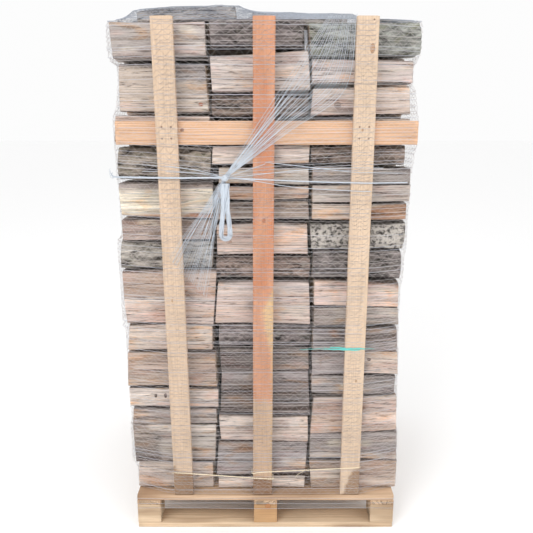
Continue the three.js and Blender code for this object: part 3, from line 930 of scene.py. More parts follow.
boardSetup = {
    "edge": 0.0022,
    "step": 0.011,
    "stepAlong": 0.02,
    "wander": 0.0006,
    "capInset": 0.0015,
    "endShrink": 0.003,
    "battenWidth": 0.073,
    "battenLeans": {"left": -0.6, "middle": 0.25, "right": 0.15},  # degrees
}
battenTone = (0.6, 0.45, 0.325)
battenPale = (0.65, 0.495, 0.36)
pineOrange = (0.55, 0.275, 0.165)
pineTan = (0.5, 0.345, 0.235)
railTone = (0.68, 0.44, 0.29)
pineStreak = (0.63, 0.46, 0.25)
streakEdge = [  # height and place across
    (0.55, 0.031), (0.72, 0.027), (0.77, 0.014), (0.83, 0.001), (0.89, -0.007), (0.93, 0.012), (0.99, 0.04),
]
palletTone = (0.64, 0.455, 0.305)
palletPale = (0.67, 0.51, 0.35)
middleBlockTone = (0.6, 0.37, 0.19)


def roundedRectangle(wide, high, edge, step):
    points = []
    for (cx, cy), start in (((1, -1), -90), ((1, 1), 0), ((-1, 1), 90), ((-1, -1), 180)):
        centre = np.array([cx * (wide / 2 - edge), cy * (high / 2 - edge)])
        for k in range(3):
            turn = math.radians(start + 45 * k)
            points.append(centre + edge * np.array([math.cos(turn), math.sin(turn)]))
        side = (high if start in (-90, 90) else wide) - 2 * edge
        count = max(1, round(side / step))
        direction = np.array([-math.sin(math.radians(start + 90)), math.cos(math.radians(start + 90))])
        for k in range(1, count):
            points.append(points[-1] + direction * side / count)
    return np.array(points)


def makeBoard(node, grain, tone, seed, lean=0.0, stain=None, toneAlong=None, stepAlong=None):
    rng = np.random.default_rng(seed)
    low, high = (np.array(corner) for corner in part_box(node))
    sizes = high - low
    if lean:
        sizes[0] = boardSetup["battenWidth"]
    u, v = (grain + 1) % 3, (grain + 2) % 3
    ring = roundedRectangle(sizes[u], sizes[v], boardSetup["edge"], boardSetup["step"])
    count = max(4, round(sizes[grain] / (stepAlong or boardSetup["stepAlong"])))
    inset = boardSetup["capInset"] / sizes[grain]
    share = np.concatenate([[0.0, inset], np.linspace(0, 1, count + 1)[1:-1], [1 - inset, 1.0]])
    rings = np.zeros((len(share), len(ring), 3))
    shrink = np.ones(len(share))
    shrink[[0, -1]] = 1 - boardSetup["endShrink"] / min(sizes[u], sizes[v])
    rings[..., u] = ring[None, :, 0] * shrink[:, None]
    rings[..., v] = ring[None, :, 1] * shrink[:, None]
    rings[..., grain] = ((share - 0.5) * sizes[grain])[:, None]
    shift = rng.uniform(0, 30, 3)
    scale = np.full(3, 40.0)
    scale[grain] = 7
    for axis in (u, v):
        rings[..., axis] += boardSetup["wander"] * smoothNoise(rings, scale, shift + axis)
    points, faces, sideCount = closedSolid(rings, (0.9, 0.5))
    places = np.stack([points[:, grain], points[:, u], points[:, v]], 1)
    thinAxis = 1 if sizes[u] < sizes[v] else 2
    wideAxis = 3 - thinAxis
    heart = np.zeros(3)
    heart[wideAxis] = rng.uniform(-0.35, 0.35) * max(sizes[u], sizes[v])
    heart[thinAxis] = rng.choice([-1, 1]) * rng.uniform(0.015, 0.05)
    places = places - heart
    places[:, 0] += shift[0]
    tones = np.tile(np.array([*tone, 0.0]), (len(points), 1))
    tones[:, :3] *= rng.uniform(0.95, 1.05)
    if toneAlong:
        tones[:, :3] = toneAlong(points[:, grain] + (low[grain] + high[grain]) / 2, points[:, u])
    if lean:
        x, z = turnFlat(points[:, 0], points[:, 2], -math.radians(lean))
        points = np.stack([x, points[:, 1], z], 1)
    points = points + (low + high) / 2
    if stain:
        tones[:, 3] = stain(points)
    store = newStore()
    kinds = [0] * sideCount + [1] * (len(faces) - sideCount)
    addToStore(store, points, faces, kinds, tones, places)
    pine = palePine if "batten" in node or "block" in node else sawnPine
    return makePiece(node + "_board", store, [pine, endGrain], [node])


def makePallet():
    seed = 100
    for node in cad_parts:
        if not node.startswith("pallet"):
            continue
        seed += 1
        grain = 1 if "stringer" in node else 0
        tone = palletTone if "deck" in node or "stringer" in node else palletPale
        if node == "pallet_block_front_middle":
            tone = middleBlockTone
        makeBoard(node, grain, tone, seed, stepAlong=0.016 if "block" in node else 0.03, stain=palletStain)


def palletStain(points):
    return np.clip(0.25 + 0.7 * smoothNoise(points, (6, 6, 30)), 0, 0.8)


# The stain at a batten's foot ends along a line of (x, z) corners.
def footStain(*corners):
    places, heights = zip(*corners)

    def stain(points):
        edge = np.interp(points[:, 0], places, heights) + 0.006 * smoothNoise(points, (50, 50, 20))
        return np.clip((edge - points[:, 2]) * 110, 0, 1)

    return stain


# The middle batten is orange, but for its foot and a pale streak along one edge.
def middleTone(along, across):
    height = along + 0.008 * np.sin(across * 160 + along * 30)
    orange = np.clip((height - 0.53) * 45, 0, 1)[:, None]
    tone = np.array(pineTan) + (np.array(pineOrange) - np.array(pineTan)) * orange
    spots = np.column_stack([across, across * 0, along])
    red = np.clip(0.2 + smoothNoise(spots, (30, 1, 9)) + 0.5 * smoothNoise(spots, (60, 1, 30)), 0, 1)[:, None]
    tone = tone * (1 + red * orange * (np.array([0.95, 0.8, 0.72]) - 1))
    heights, places = zip(*streakEdge)
    streak = np.clip((across - np.interp(along, heights, places)) * 90, 0, 1)[:, None] * 0.75
    return tone + (np.array(pineStreak) - tone) * streak


def makeBattens():
    stains = {
        "left": footStain((-0.36, 0.286), (-0.338, 0.248), (-0.28, 0.243)),
        "middle": footStain((-0.05, 0.224), (0.03, 0.216)),
        "right": footStain((0.3, 0.14), (0.308, 0.169), (0.332, 0.256), (0.37, 0.266)),
    }
    for number, (side, lean) in enumerate(boardSetup["battenLeans"].items()):
        tone = battenPale if side == "right" else battenTone
        along = middleTone if side == "middle" else None
        makeBoard(f"batten_front_{side}", 2, tone, 140 + number, lean, stains[side], along, 0.01)
        makeBoard(f"batten_back_{side}", 2, battenTone, 150 + number, lean, stains["middle"], None, 0.02)
    makeBoard("rail_front", 0, railTone, 161, stepAlong=0.012)
    makeBoard("rail_back", 0, railTone, 162)


makePallet()
makeBattens()
print("pallet and battens made")


# Threads. Each line of points becomes a thin closed tube.


def addThread(store, line, thick, sides=3, closed=False, kind=0):
    line = np.asarray(line, float)
    ahead = np.roll(line, -1, axis=0) - np.roll(line, 1, axis=0)
    if not closed:
        ahead[0], ahead[-1] = line[1] - line[0], line[-1] - line[-2]
    ahead /= np.maximum(np.linalg.norm(ahead, axis=1, keepdims=True), 1e-9)
    up = np.where(np.abs(ahead[:, 2:3]) > 0.9, np.array([[0.0, 1.0, 0.0]]), np.array([[0.0, 0.0, 1.0]]))
    across = np.cross(ahead, up)
    across /= np.maximum(np.linalg.norm(across, axis=1, keepdims=True), 1e-9)
    over = np.cross(across, ahead)
    turns = np.arange(sides) / sides * 2 * math.pi
    thick = np.broadcast_to(np.asarray(thick, float).reshape(-1, 1, 1), (len(line), 1, 1))
    rounds = np.cos(turns)[None, :, None] * across[:, None] + np.sin(turns)[None, :, None] * over[:, None]
    rings = line[:, None] + thick / 2 * rounds
    count = len(line)
    faces = [face[::-1] for face in ringFaces(count, sides)]
    if closed:
        last, step = (count - 1) * sides, np.arange(sides)
        following = (step + 1) % sides
        faces += np.stack([step, following, last + following, last + step], 1).tolist()
    else:
        faces.append(list(range(sides)))
        faces.append([(count - 1) * sides + i for i in range(sides)][::-1])
    points = rings.reshape(-1, 3)
    tones = np.tile([0.7, 0.74, 0.82, 1.0], (len(points), 1))
    addToStore(store, points, faces, [kind] * len(faces), tones, points)


netSetup = {
    "threads": ((0.0009, 1), (0.0010, 1), (0.0011, 1), (0.0012, 0), (0.0014, 0)),  # thickness, kind
    "fine": 0.00105,
    "row": 0.0152,
    "stitch": 0.0192,
    "low": 0.152,
    "high": 1.872,
    "proud": 0.0009,
    "girth": 4.02,
    "rowPoints": 92,
    "loose": 60,  # threads of a second, slanting layer
    "looseThread": 0.0008,
    "palletRows": (0.128, 0.107, 0.085),
    "palletSide": (0.5008, 0.5012),
    "battenEdge": 0.367,
    "stackCorner": 0.447,
    "railHeight": 1.5155,
    "railFront": 0.4785,
    "pull": 0.75,  # how far the knot gathers the rows beside it
}
battenFace = -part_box("batten_front_middle")[0].y
railLow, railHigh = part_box("rail_front")
netHeights = np.arange(netSetup["low"] - 0.03, 1.99, 0.005)


# How far the logs reach at each height: on one side, between two depths.
def reachProfile(side, zone):
    reach = np.full(len(netHeights), 0.46)
    for low, high in logReach:
        out = -low[0] if side < 0 else high[0]
        outsideZone = high[1] < zone[0] or low[1] > zone[1]
        fromMiddle = zone[0] * zone[1] > 0 and abs(low[1] + high[1]) < 0.6
        if out < 0.45 or outsideZone or fromMiddle:
            continue
        chosen = (netHeights > low[2] - 0.01) & (netHeights < high[2] + 0.01)
        reach[chosen] = np.maximum(reach[chosen], out)
    window = np.hanning(11)
    padded = np.pad(reach, 5, mode="edge")
    smooth = np.convolve(padded, window / window.sum(), "valid")
    return np.maximum(smooth, reach - 0.006) + 0.0003


zones = ((-0.452, -0.33), (-0.2, 0.2), (0.33, 0.452))
leftReach = [reachProfile(-1, zone) for zone in zones]
rightReach = [reachProfile(1, zone) for zone in zones]


def turnAt(a, b, c):
    return (b[0] - a[0]) * (c[1] - a[1]) - (b[1] - a[1]) * (c[0] - a[0])


def convexHull(points):
    points = sorted(map(tuple, points))

    def half(sequence):
        hull = []
        for p in sequence:
            while len(hull) > 1 and turnAt(hull[-2], hull[-1], p) <= 0:
                hull.pop()
            hull.append(p)
        return hull

    return np.array(half(points)[:-1] + half(points[::-1])[:-1])


# The net's outline round the stack at one height, as evenly spaced points that start at the back.
def netOutline(z, count, shift=0.0):
    front, corner, edge = battenFace + netSetup["proud"], netSetup["stackCorner"], netSetup["battenEdge"]
    corners = []
    for side, reaches in ((-1, leftReach), (1, rightReach)):
        for (y0, y1), reach in zip(zones, reaches):
            out = side * float(np.interp(z, netHeights, reach))
            corners += [(out, np.clip(y0, -corner, corner)), (out, np.clip(y1, -corner, corner))]
    for way in (-1, 1):
        corners += [(-edge, way * front), (edge, way * front)]
        nearRail = max(0.0, 1 - max(0.0, abs(z - netSetup["railHeight"]) - 0.04) / 0.1)
        if nearRail > 0:
            out = 0.97 + 0.03 * nearRail
            depth = way * netSetup["railFront"]
            corners += [(railLow.x * out - 0.001, depth), (railHigh.x * out + 0.001, depth)]
    hull = convexHull(corners)
    start = int(np.argmax(hull[:, 1] - 0.001 * hull[:, 0]))
    hull = np.roll(hull, -start, axis=0)
    closed = np.concatenate([hull, hull[:1]])
    lengths = np.concatenate([[0], np.cumsum(np.linalg.norm(np.diff(closed, axis=0), axis=1))])
    targets = ((np.arange(count) + shift) / count) % 1 * lengths[-1]
    return np.stack([np.interp(targets, lengths, closed[:, 0]), np.interp(targets, lengths, closed[:, 1])], 1)


# The rows on both sides of the knot are drawn towards it.
def gathered(x, y, z):
    across = x - knotPlace[0]
    near = np.clip(1 - np.abs(across) / np.where(across < 0, 0.37, 0.62), 0, 1) ** 1.3
    level = np.exp(-(((z - knotPlace[2] - 0.02) / 0.08) ** 2))
    return z + (knotPlace[2] - z) * near * level * netSetup["pull"] * (y < -0.44)


def makeNetWall():
    rows = np.arange(netSetup["low"], netSetup["high"], netSetup["row"])
    stitches = 2 * round(netSetup["girth"] / netSetup["stitch"] / 2)
    rng = np.random.default_rng(71)
    rows = rows + rng.uniform(-0.0036, 0.0036, len(rows))
    tilt = rng.uniform(-0.0025, 0.0025, len(rows))
    phase = rng.uniform(0, 6.28, len(rows))

    def placed(flat, row):
        x, y = flat.T
        wave = 0.0018 * np.sin(5 * x + phase[row]) + 0.0014 * np.sin(7 * y + 2 * phase[row])
        z = gathered(x, y, rows[row] + wave + tilt[row] * x / 0.5)
        return np.column_stack([x, y, z])

    third = len(rows) // 3 + 1
    for part, name in enumerate(("lower", "middle", "upper")):
        store = newStore()
        for row in range(part * third, min(len(rows), (part + 1) * third)):
            thick, kind = netSetup["threads"][rng.integers(len(netSetup["threads"]))]
            chain = placed(netOutline(rows[row], netSetup["rowPoints"]), row)
            addThread(store, chain, thick, closed=True, kind=kind)
            if row + 1 == len(rows):
                continue
            shift = rng.uniform(0, 1)
            zigzag = placed(netOutline(rows[row], stitches, shift), row)
            above = placed(netOutline(rows[row + 1], stitches, shift), row + 1)
            zigzag[1::2] = above[1::2]
            addThread(store, zigzag, netSetup["fine"], closed=True, kind=1)
        makePiece(f"net_{name}", store, [netWhite, netFaint], ["net_wrap"])
    store = newStore()
    for _ in range(netSetup["loose"]):
        level, swing, start = rng.uniform(0.17, 1.86), rng.uniform(0.002, 0.015), rng.uniform(0, 6.28)
        flat = netOutline(level, 72)
        turn = np.arctan2(flat[:, 1], flat[:, 0]) + start
        z = np.clip(level + swing * np.sin(turn) + 0.004 * np.sin(3 * turn), 0.15, netSetup["high"])
        z = gathered(flat[:, 0], flat[:, 1], z)
        addThread(store, np.column_stack([flat, z]), netSetup["looseThread"], closed=True, kind=1)
    right, back = netSetup["palletSide"]
    for level in netSetup["palletRows"]:
        corners = [(-right, -back), (right, -back), (right, back), (-right, back)]
        line = []
        for a, b in zip(corners, corners[1:] + corners[:1]):
            share = np.linspace(0, 1, 24, endpoint=False)[:, None]
            line.append(np.array(a) * (1 - share) + np.array(b) * share)
        flat = np.concatenate(line)
        z = level + 0.002 * np.sin(9 * flat[:, 0] + 5 * level * 100) + 0.0015 * np.sin(7 * flat[:, 1])
        addThread(store, np.column_stack([flat, z]), netSetup["fine"], closed=True)
    makePiece("net_second_layer", store, [netWhite, netFaint], ["net_wrap"])


# Over the heap the net is a skin pulled tight across whatever stands highest.
def makeNetTop():
    cell, edge = 0.01, netSetup["high"]
    wide, deep = 54, 50
    ground = np.full((2 * wide + 1, 2 * deep + 1), edge)
    points = np.concatenate(heapPoints)
    column = np.clip(np.round(points[:, 0] / cell).astype(int) + wide, 0, 2 * wide)
    line = np.clip(np.round(points[:, 1] / cell).astype(int) + deep, 0, 2 * deep)
    np.maximum.at(ground, (column, line), points[:, 2] + 0.0015)
    for axis in (0, 1):
        ground = np.maximum(ground, np.maximum(np.roll(ground, 1, axis), np.roll(ground, -1, axis)))
    rim = np.ones(ground.shape, bool)
    rim[5:-5, 2:-2] = False
    ground[rim] = edge
    skin = ground.copy()
    for _ in range(400):
        across = np.roll(skin, 1, 0) + np.roll(skin, -1, 0)
        along = np.roll(skin, 1, 1) + np.roll(skin, -1, 1)
        skin = np.maximum(ground, (across + along) / 4)
        skin[rim] = edge

    def heightAt(x, y):
        u, v = x / cell + wide, y / cell + deep
        i, j = np.clip(u.astype(int), 0, 2 * wide - 1), np.clip(v.astype(int), 0, 2 * deep - 1)
        a, b = u - i, v - j
        low = skin[i, j] * (1 - a) + skin[i + 1, j] * a
        high = skin[i, j + 1] * (1 - a) + skin[i + 1, j + 1] * a
        return low * (1 - b) + high * b

    outline = netOutline(edge, 900)

    def across(y, count):
        near = outline[np.abs(outline[:, 1] - y) < 0.008]
        return np.linspace(near[:, 0].min() + 0.003, near[:, 0].max() - 0.003, count)

    rng = np.random.default_rng(91)
    rows = np.arange(-0.494, 0.495, netSetup["row"] * 0.64)
    topDepth = 0.497
    store = newStore()
    for row in rows:
        x = across(row, 52)
        wave = row + 0.003 * np.sin(6 * x + rng.uniform(0, 6)) + rng.uniform(-0.006, 0.006) * x
        y = np.clip(wave, -topDepth, topDepth)
        addThread(store, np.column_stack([x, y, heightAt(x, y)]), 0.0011)
        x = across(row, 54)
        y = np.clip(row + netSetup["row"] * (np.arange(54) % 2), -topDepth, topDepth)
        addThread(store, np.column_stack([x, y, heightAt(x, y)]), netSetup["fine"])
    for _ in range(26):
        y = np.linspace(rng.uniform(-0.44, 0.3), rng.uniform(0.0, 0.44), 50)
        x = across(0.0, 50)
        addThread(store, np.column_stack([x, y, heightAt(x, y)]), netSetup["fine"])
    # The threads over the top take the net thread coloured with painted shade.
    makePiece("net_over_the_top", store, [netShade], ["net_wrap"])


knotPlace = np.array([-0.137, -0.5165, 1.367])
makeNetWall()
makeNetTop()
print("net wound round")


# The loop of gathered net threads. Its two legs hang a little closer together than the CAD tube's.

loopSetup = {
    "diameter": 0.012,
    "outerRadius": 0.0087,
    "drop": 0.190,
    "spread": 0.0155,
    "neck": 0.0064,
    "strands": 26,
    "strand": 0.0026,
    "twist": 1.5,
}


def loopRoute():
    drop, spread, neck = loopSetup["drop"], loopSetup["spread"], loopSetup["neck"]
    x, y, top = knotPlace[0], knotPlace[1], knotPlace[2] - 0.018
    middle = top - drop + spread

    def leg(way):
        return [
            (x + way * neck, y, top),
            (x + way * (neck + 0.0005), y, top - 0.25 * drop),
            (x + way * (neck + 0.0015), y, top - 0.5 * drop),
            (x + way * (spread - 0.0025), y, top - 0.72 * drop),
            (x + way * spread, y, middle),
            (x + way * 0.92 * spread, y, middle - 0.38 * spread),
            (x + way * 0.71 * spread, y, middle - 0.71 * spread),
            (x + way * 0.38 * spread, y, middle - 0.92 * spread),
        ]

    return np.array(leg(-1) + [(x, y, top - drop)] + leg(1)[::-1])


# A smooth curve through the points, as evenly spaced points, and its length.
def smoothLine(points, count):
    points = np.asarray(points, float)
    padded = np.concatenate([[2 * points[0] - points[1]], points, [2 * points[-1] - points[-2]]])
    line = []
    for i in range(1, len(padded) - 2):
        p0, p1, p2, p3 = padded[i - 1 : i + 3]
        t = np.linspace(0, 1, 20, endpoint=False)[:, None]
        squared, cubed = (2 * p0 - 5 * p1 + 4 * p2 - p3) * t**2, (3 * p1 - p0 - 3 * p2 + p3) * t**3
        line.append(0.5 * (2 * p1 + (p2 - p0) * t + squared + cubed))
    line = np.concatenate(line + [padded[-2][None]])
    run = np.concatenate([[0], np.cumsum(np.linalg.norm(np.diff(line, axis=0), axis=1))])
    targets = np.linspace(0, run[-1], count)
    return np.stack([np.interp(targets, run, line[:, k]) for k in range(3)], 1), run[-1]


# Strands laid round one another along a line.
def addBundle(store, line, radius, strands, thick, twist, rng):
    ahead = np.gradient(line, axis=0)
    ahead /= np.linalg.norm(ahead, axis=1, keepdims=True)
    side = np.cross(ahead, np.array([0.0, 1.0, 0.0]))
    side /= np.maximum(np.linalg.norm(side, axis=1, keepdims=True), 1e-9)
    other = np.cross(ahead, side)
    share = np.linspace(0, 1, len(line))
    for strand in range(strands):
        ringRadius = 0.0 if strand == 0 else radius * (0.75 + 0.25 * rng.random())
        turn = strand / max(1, strands - 1) * 2 * math.pi + twist * 2 * math.pi * share
        turn = turn + 0.5 * smoothNoise(np.column_stack([share * 9, share * 0 + strand, share * 0]), 1.0)
        swell = smoothNoise(np.column_stack([share * 14, share * 0 + strand * 3, share * 0]), 1.0)
        spread = ringRadius * (1 + 0.15 * swell)
        path = line + side * (spread * np.cos(turn))[:, None] + other * (spread * np.sin(turn))[:, None]
        addThread(store, path, thick, 5)


def makeLoop():
    line, length = smoothLine(loopRoute(), 76)
    store = newStore()
    rng = np.random.default_rng(81)
    radius = loopSetup["outerRadius"] - loopSetup["strand"] / 2
    addBundle(store, line, radius, loopSetup["strands"], loopSetup["strand"], loopSetup["twist"], rng)
    loop = makePiece("net_loop_strands", store, [knotWhite], ["net_loop"])
    tuple(line[0])
    [tuple(p) for p in line]
    print(f"loop is {length:.3f} m long")


knotSetup = {"turns": 13, "points": 26, "size": (0.0125, 0.009, 0.0105), "thread": 0.0034}


# The knot: turns of thread wound round one another.
def makeKnot():
    store = newStore()
    rng = np.random.default_rng(82)
    turns = np.linspace(0, 2 * math.pi, knotSetup["points"], endpoint=False)
    for k in range(knotSetup["turns"]):
        axis = rng.normal(size=3) + np.array([2.0 * (k % 2), 0, 1.2 * (1 - k % 2)])
        axis /= np.linalg.norm(axis)
        side = np.cross(axis, [0.3, 1.0, 0.2])
        side /= np.linalg.norm(side)
        other = np.cross(axis, side)
        ring = np.cos(turns)[:, None] * side + np.sin(turns)[:, None] * other
        ring += axis * rng.uniform(-0.35, 0.35)
        ring /= np.linalg.norm(ring, axis=1, keepdims=True)
        size = np.array(knotSetup["size"]) * rng.uniform(0.75, 1.0)
        addThread(store, knotPlace + ring * size, knotSetup["thread"], 6, True)
    makePiece("net_knot_wound", store, [knotWhite], ["net_knot"])


# Threads drawn together into the knot: fans up to the right and down to the left, a rope to the left
# edge, and single strands to the right.
gatherSetup = {
    "fanUp": ((0.112, 1.746), (0.260, 1.653), (0.196, 1.872), (0.290, 1.872), 22),
    "fanDown": ((-0.283, 1.171), (-0.190, 1.070), (-0.34, 1.085), (-0.212, 0.94), 26),
    "strand": 0.0016,
    "single": 0.002,
    "front": 0.0022,  # how far they lie in front of the battens
    # Routes from the knot: (x, z) in front of the battens, or (x, z, y) elsewhere.
    "strands": (
        ((-0.07, 1.3895), (0.0, 1.4135), (0.022, 1.4165), (0.286, 1.387), (0.365, 1.384),
         (0.489, 1.38, -0.4685)),
        ((-0.086, 1.371), (0.134, 1.394), (0.29, 1.4), (0.4, 1.399, -0.494)),
        ((-0.08, 1.363), (0.151, 1.353), (0.3, 1.349), (0.365, 1.348), (0.491, 1.347, -0.468)),
        ((-0.07, 1.361), (0.1, 1.335), (0.3, 1.322), (0.36, 1.32)),
        ((-0.2, 1.385), (-0.3, 1.402), (-0.42, 1.41, -0.487)),
        ((-0.2, 1.378), (-0.3, 1.386), (-0.42, 1.388, -0.487)),
    ),
    "doubled": 2,  # the strand that runs as a pair
    "pairGap": 0.002,
}


def makeGatheredThreads():
    rng = np.random.default_rng(83)
    front = -battenFace - gatherSetup["front"]
    store = newStore()
    for name in ("fanUp", "fanDown"):
        (ax, az), (bx, bz), (cx, cz), (dx, dz), count = gatherSetup[name]
        for k in range(count):
            share = np.clip((k + rng.uniform(-0.3, 0.3)) / (count - 1), 0, 1)
            mid = np.array([ax + (bx - ax) * share, front, az + (bz - az) * share])
            end = np.array([cx + (dx - cx) * share, front, cz + (dz - cz) * share])
            away = [rng.uniform(-0.007, 0.007), rng.uniform(-0.003, 0.003), rng.uniform(-0.006, 0.006)]
            start = knotPlace + away
            near = start + (mid - start) * 0.15
            near[1] = front - 0.002
            half = start + (mid - start) * 0.55 + rng.uniform(-0.004, 0.004, 3) * (1, 0, 1)
            half[1] = front
            route = [start, near, half, mid, end]
            if name == "fanUp":
                route.append(end + np.array([0.01, 0.055, 0.012]))
            line, _ = smoothLine(route, 26)
            thick = gatherSetup["strand"] * rng.choice([0.6, 0.8, 1.15]) * np.linspace(1.35, 0.8, len(line))
            addThread(store, line, thick, 4)
    ropeRoute = [
        tuple(knotPlace), (-0.18, front - 0.006, 1.3675), (-0.29, front - 0.003, 1.3665),
        (-0.365, front - 0.003, 1.367), (-0.44, -0.482, 1.3665), (-0.512, -0.459, 1.366),
        (-0.524, -0.447, 1.3665),
    ]
    line, _ = smoothLine(ropeRoute, 70)
    addBundle(store, line, 0.0026, 7, 0.0023, 7, rng)
    for k in range(7):
        depth, height = -0.457 + rng.uniform(-0.006, 0.006), 1.37 + rng.uniform(-0.01, 0.018)
        tip = np.array([-0.5335 - 0.004 * (k % 3), depth, height])
        hook = tip + np.array([0.004, 0.0, 0.008])
        line, _ = smoothLine([(-0.508, -0.4605, 1.366), (-0.522, -0.457, 1.3655), tip, hook], 14)
        addThread(store, line, gatherSetup["strand"], 4)
    for number, places in enumerate(gatherSetup["strands"]):
        route = [tuple(knotPlace)] + [(x, depth[0] if depth else front, z) for x, z, *depth in places]
        line, _ = smoothLine(route, 60)
        for offset in (0, gatherSetup["pairGap"]) if number == gatherSetup["doubled"] else (0,):
            addThread(store, line + np.array([0, 0, offset]), gatherSetup["single"], 5)
    makePiece("net_gathered_threads", store, [knotWhite])


tealSetup = {
    "height": 0.746,
    # from x, to x, thickness, rise
    "threads": (
        (0.126, 0.398, 0.0018, 0.0),
        (0.227, 0.362, 0.0046, 0.001),
        (0.235, 0.292, 0.0046, 0.005),
        (0.237, 0.345, 0.0042, -0.002),
    ),
}


def makeTealThread():
    store = newStore()
    rng = np.random.default_rng(84)
    y = -battenFace - 0.0015
    for x0, x1, thick, rise in tealSetup["threads"]:
        x = np.linspace(x0, x1, 40)
        z = tealSetup["height"] + rise + 0.0016 * np.sin(x * 40 + rise * 900) + 0.0006 * np.sin(x * 170)
        depth = np.interp(x, [0.12, 0.29, 0.362, 0.40], [y, y, y, -0.4935])
        addThread(store, np.column_stack([x, depth, z]), thick, 5)
    for _ in range(4):
        x = np.linspace(0.228, 0.228 - rng.uniform(0.008, 0.02), 8)
        z = 0.747 + np.linspace(0, rng.uniform(-0.008, 0.008), 8)
        addThread(store, np.column_stack([x, np.full(8, y), z]), 0.0011, 4)
    makePiece("teal_thread", store, [tealThread])


# The twine crosses the left batten, goes once round the middle one and ends on the right one.
def makeTwine():
    store = newStore()
    rng = np.random.default_rng(85)
    front, behind = -battenFace - 0.0021, -battenFace + 0.0235
    route = [
        (-0.3504, front, 0.240), (-0.3179, front, 0.238), (-0.1647, front, 0.2265), (-0.0479, front, 0.217),
        (0.0262, front, 0.213), (0.0288, front + 0.006, 0.214), (0.0288, behind - 0.004, 0.216),
        (0.024, behind, 0.218), (-0.0114, behind, 0.2265), (-0.047, behind, 0.240),
        (-0.0516, behind - 0.004, 0.239), (-0.0516, front + 0.006, 0.237), (-0.048, front, 0.236),
        (-0.0114, front, 0.242), (0.1573, front, 0.251), (0.326, front, 0.260), (0.3585, front, 0.262),
    ]
    line, _ = smoothLine(route, 260)
    addBundle(store, line, 0.0012, 3, 0.0022, 60, rng)
    branchRoute = [
        (0.151, front, 0.251), (0.139, front - 0.001, 0.243), (0.123, front, 0.231), (0.117, front, 0.221),
    ]
    branch, _ = smoothLine(branchRoute, 24)
    addBundle(store, branch, 0.0006, 3, 0.0012, 6, rng)
    for end, way in (((-0.3504, front, 0.240), -1), ((0.3585, front, 0.262), 1)):
        for _ in range(5):
            away = [way * rng.uniform(0.006, 0.012), rng.uniform(-0.001, 0.001), rng.uniform(-0.005, 0.005)]
            tip = np.array(end) + np.array(away)
            addThread(store, smoothLine([end, (np.array(end) + tip) / 2, tip], 6)[0], 0.0008, 3)
    makePiece("bottom_twine_twisted", store, [twineFibre], ["bottom_twine"])


makeLoop()
makeKnot()
makeGatheredThreads()
makeTealThread()
makeTwine()
print("knot, strands and twine tied")


# Knots in the wood and nail heads, each a shallow dome set on the face found behind its place.
# Knots: (x, z), half width, half height, colour.
logKnotPlaces = [
    ((-0.219, 1.609), 0.008, 0.007, (0.36, 0.16, 0.1)),
    ((-0.419, 0.536), 0.006, 0.008, (0.16, 0.12, 0.1)),
    ((-0.382, 0.536), 0.006, 0.009, (0.14, 0.1, 0.09)),
    ((-0.131, 1.135), 0.011, 0.008, (0.5, 0.34, 0.27)),
    ((0.245, 1.606), 0.013, 0.011, (0.27, 0.21, 0.18)),
    ((0.390, 0.683), 0.008, 0.006, (0.2, 0.14, 0.11)),
]
boardKnotPlaces = [
    ((0.347, 1.783), 0.008, 0.017, (0.42, 0.26, 0.16)),
    ((0.349, 1.870), 0.003, 0.003, (0.2, 0.12, 0.08)),
    ((0.324, 1.525), 0.004, 0.005, (0.45, 0.28, 0.17)),
    ((-0.281, 1.525), 0.007, 0.006, (0.3, 0.15, 0.09)),
    ((0.010, 0.094), 0.011, 0.013, (0.42, 0.2, 0.09)),
    ((-0.334, 0.93), 0.004, 0.006, (0.5, 0.34, 0.22)),
    ((0.335, 0.62), 0.004, 0.006, (0.48, 0.32, 0.2)),
    ((-0.006, 1.22), 0.006, 0.009, (0.4, 0.17, 0.1)),
]
nailSetup = {"radius": 0.0034, "raised": 0.0008, "tone": (0.3, 0.3, 0.3), "rings": 4, "around": 12}
knotRaised = 0.0012
nailPlaces = [(x, z) for x in (-0.347, -0.316, -0.022, 0.008, 0.314, 0.346) for z in (1.497, 1.535)]


# The first wood met from the front, or from the back where way is -1. Threads are passed through.
def frontSpot(x, z, way=1):
    view = bpy.context.view_layer.depsgraph
    start = -0.7 * way
    for _ in range(12):
        hit, place, normal, _, thing, _ = scene.ray_cast(view, (x, start, z), (0, way, 0))
        if not hit:
            return None
        if not thing.name.startswith(("net", "teal", "bottom_twine")):
            return place, normal
        start = place.y + 0.0005 * way
    return None


def addDome(store, x, z, wide, high, raised, tone, way=1, rings=5, around=22):
    found = frontSpot(x, z, way)
    if not found:
        return
    place, normal = (np.array(v) for v in found)
    normal = normal + np.array([0, -1.5 * way, 0])
    normal /= np.linalg.norm(normal)
    side = np.cross([0.0, 0.0, 1.0], normal)
    side /= np.linalg.norm(side)
    up = np.cross(normal, side)
    turns = np.arange(around) / around * 2 * math.pi
    points, local = [], []
    for k in range(rings):
        share = math.cos(k / (rings - 1) * math.pi / 2)
        reach = 1.0 if k == 0 else math.cos((k / (rings - 1)) * math.pi / 2 * 0.96)
        lift = raised * math.sqrt(max(0.0, 1 - share * share)) - 0.001 * (k == 0)
        circle = np.column_stack([np.cos(turns), np.sin(turns), turns * 0])
        wobble = 1 + 0.08 * smoothNoise(circle, 2.0, x * 50)
        flat = np.column_stack([np.cos(turns), np.sin(turns)]) * (reach * wobble)[:, None]
        ring = place + flat[:, :1] * wide * side + flat[:, 1:] * high * up + normal * lift
        points.append(ring)
        local.append(np.column_stack([flat, np.zeros(around)]))
    top = place + normal * raised
    bottom = place - normal * 0.002
    points = np.concatenate(points + [top[None], bottom[None]])
    local = np.concatenate(local + [np.zeros((2, 3))])
    faces = ringFaces(rings, around)
    last, count = (rings - 1) * around, rings * around
    for i in range(around):
        faces.append([last + i, last + (i + 1) % around, count])
        faces.append([(i + 1) % around, i, count + 1])
    tones = np.tile(np.array([*tone, 1.0]), (len(points), 1))
    addToStore(store, points, faces, [0] * len(faces), tones, local)


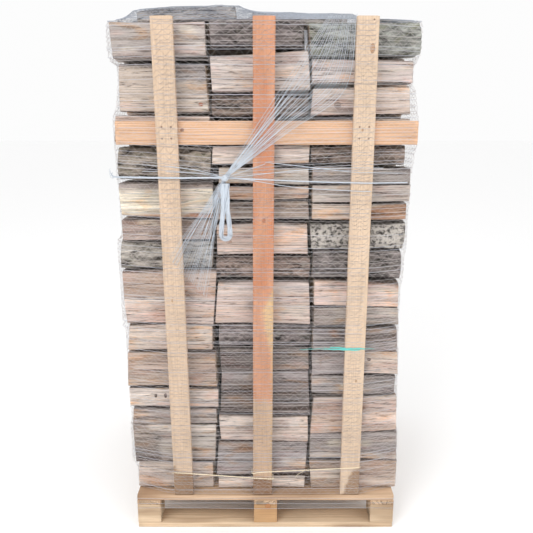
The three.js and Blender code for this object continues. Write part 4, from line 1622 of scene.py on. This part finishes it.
def makeKnotsAndNails():
    bpy.context.view_layer.update()
    logKnots, boardKnots, nails = newStore(), newStore(), newStore()
    for knots, store in ((logKnotPlaces, logKnots), (boardKnotPlaces, boardKnots)):
        for (x, z), wide, high, tone in knots:
            addDome(store, x, z, wide, high, knotRaised, tone)
    radius, raised, tone, rings, around = nailSetup.values()
    for x, z in nailPlaces:
        for way in (1, -1):
            addDome(nails, x, z, radius, radius, raised, tone, way, rings, around)
    makePiece("knots_in_logs", logKnots, [woodKnot])
    makePiece("knots_in_boards", boardKnots, [woodKnot])
    makePiece("batten_nails", nails, [nailSteel])


makeKnotsAndNails()
print("knots and nails set")


lightSetup = {
    "floor": (0.98, 0.98, 0.98, 1),
    "floorSide": 60,
    "dome": 0.98,
    "softboxes": [((-2.2, -3.6, 4.2), 2.6, 114), ((3.2, -2.6, 2.6), 2.6, 48)],  # place, size, power
    "aim": (0.0, 0.0, 0.9),
}


def makeFloorAndLight():
    side = lightSetup["floorSide"]
    corners = [(-side, -side, 0), (side, -side, 0), (side, side, 0), (-side, side, 0)]
    mesh = bpy.data.meshes.new("floor")
    mesh.from_pydata(corners, [], [(0, 1, 2, 3)])
    floor = bpy.data.objects.new("floor", mesh)
    scene.collection.objects.link(floor)
    material, _, shader = newMaterial("pale floor", 0.9)
    shader.inputs["Base Color"].default_value = lightSetup["floor"]
    mesh.materials.append(material)
    world = bpy.data.worlds.new("studio")
    scene.world = world
    world.use_nodes = True
    background = world.node_tree.nodes["Background"]
    background.inputs["Color"].default_value = (1.0, 1.0, 1.0, 1)
    background.inputs["Strength"].default_value = lightSetup["dome"]
    for place, size, power in lightSetup["softboxes"]:
        light = bpy.data.lights.new("softbox", "AREA")
        light.shape = "SQUARE"
        light.size = size
        light.energy = power
        lamp = bpy.data.objects.new("softbox", light)
        lamp.location = place
        toX, toY, toZ = np.array(lightSetup["aim"]) - np.array(place)
        lamp.rotation_euler = (math.atan2(math.hypot(toX, toY), -toZ), 0, math.atan2(-toX, toY))
        scene.collection.objects.link(lamp)
    scene.view_settings.view_transform = "Standard"


makeFloorAndLight()
print("floor and light in place")
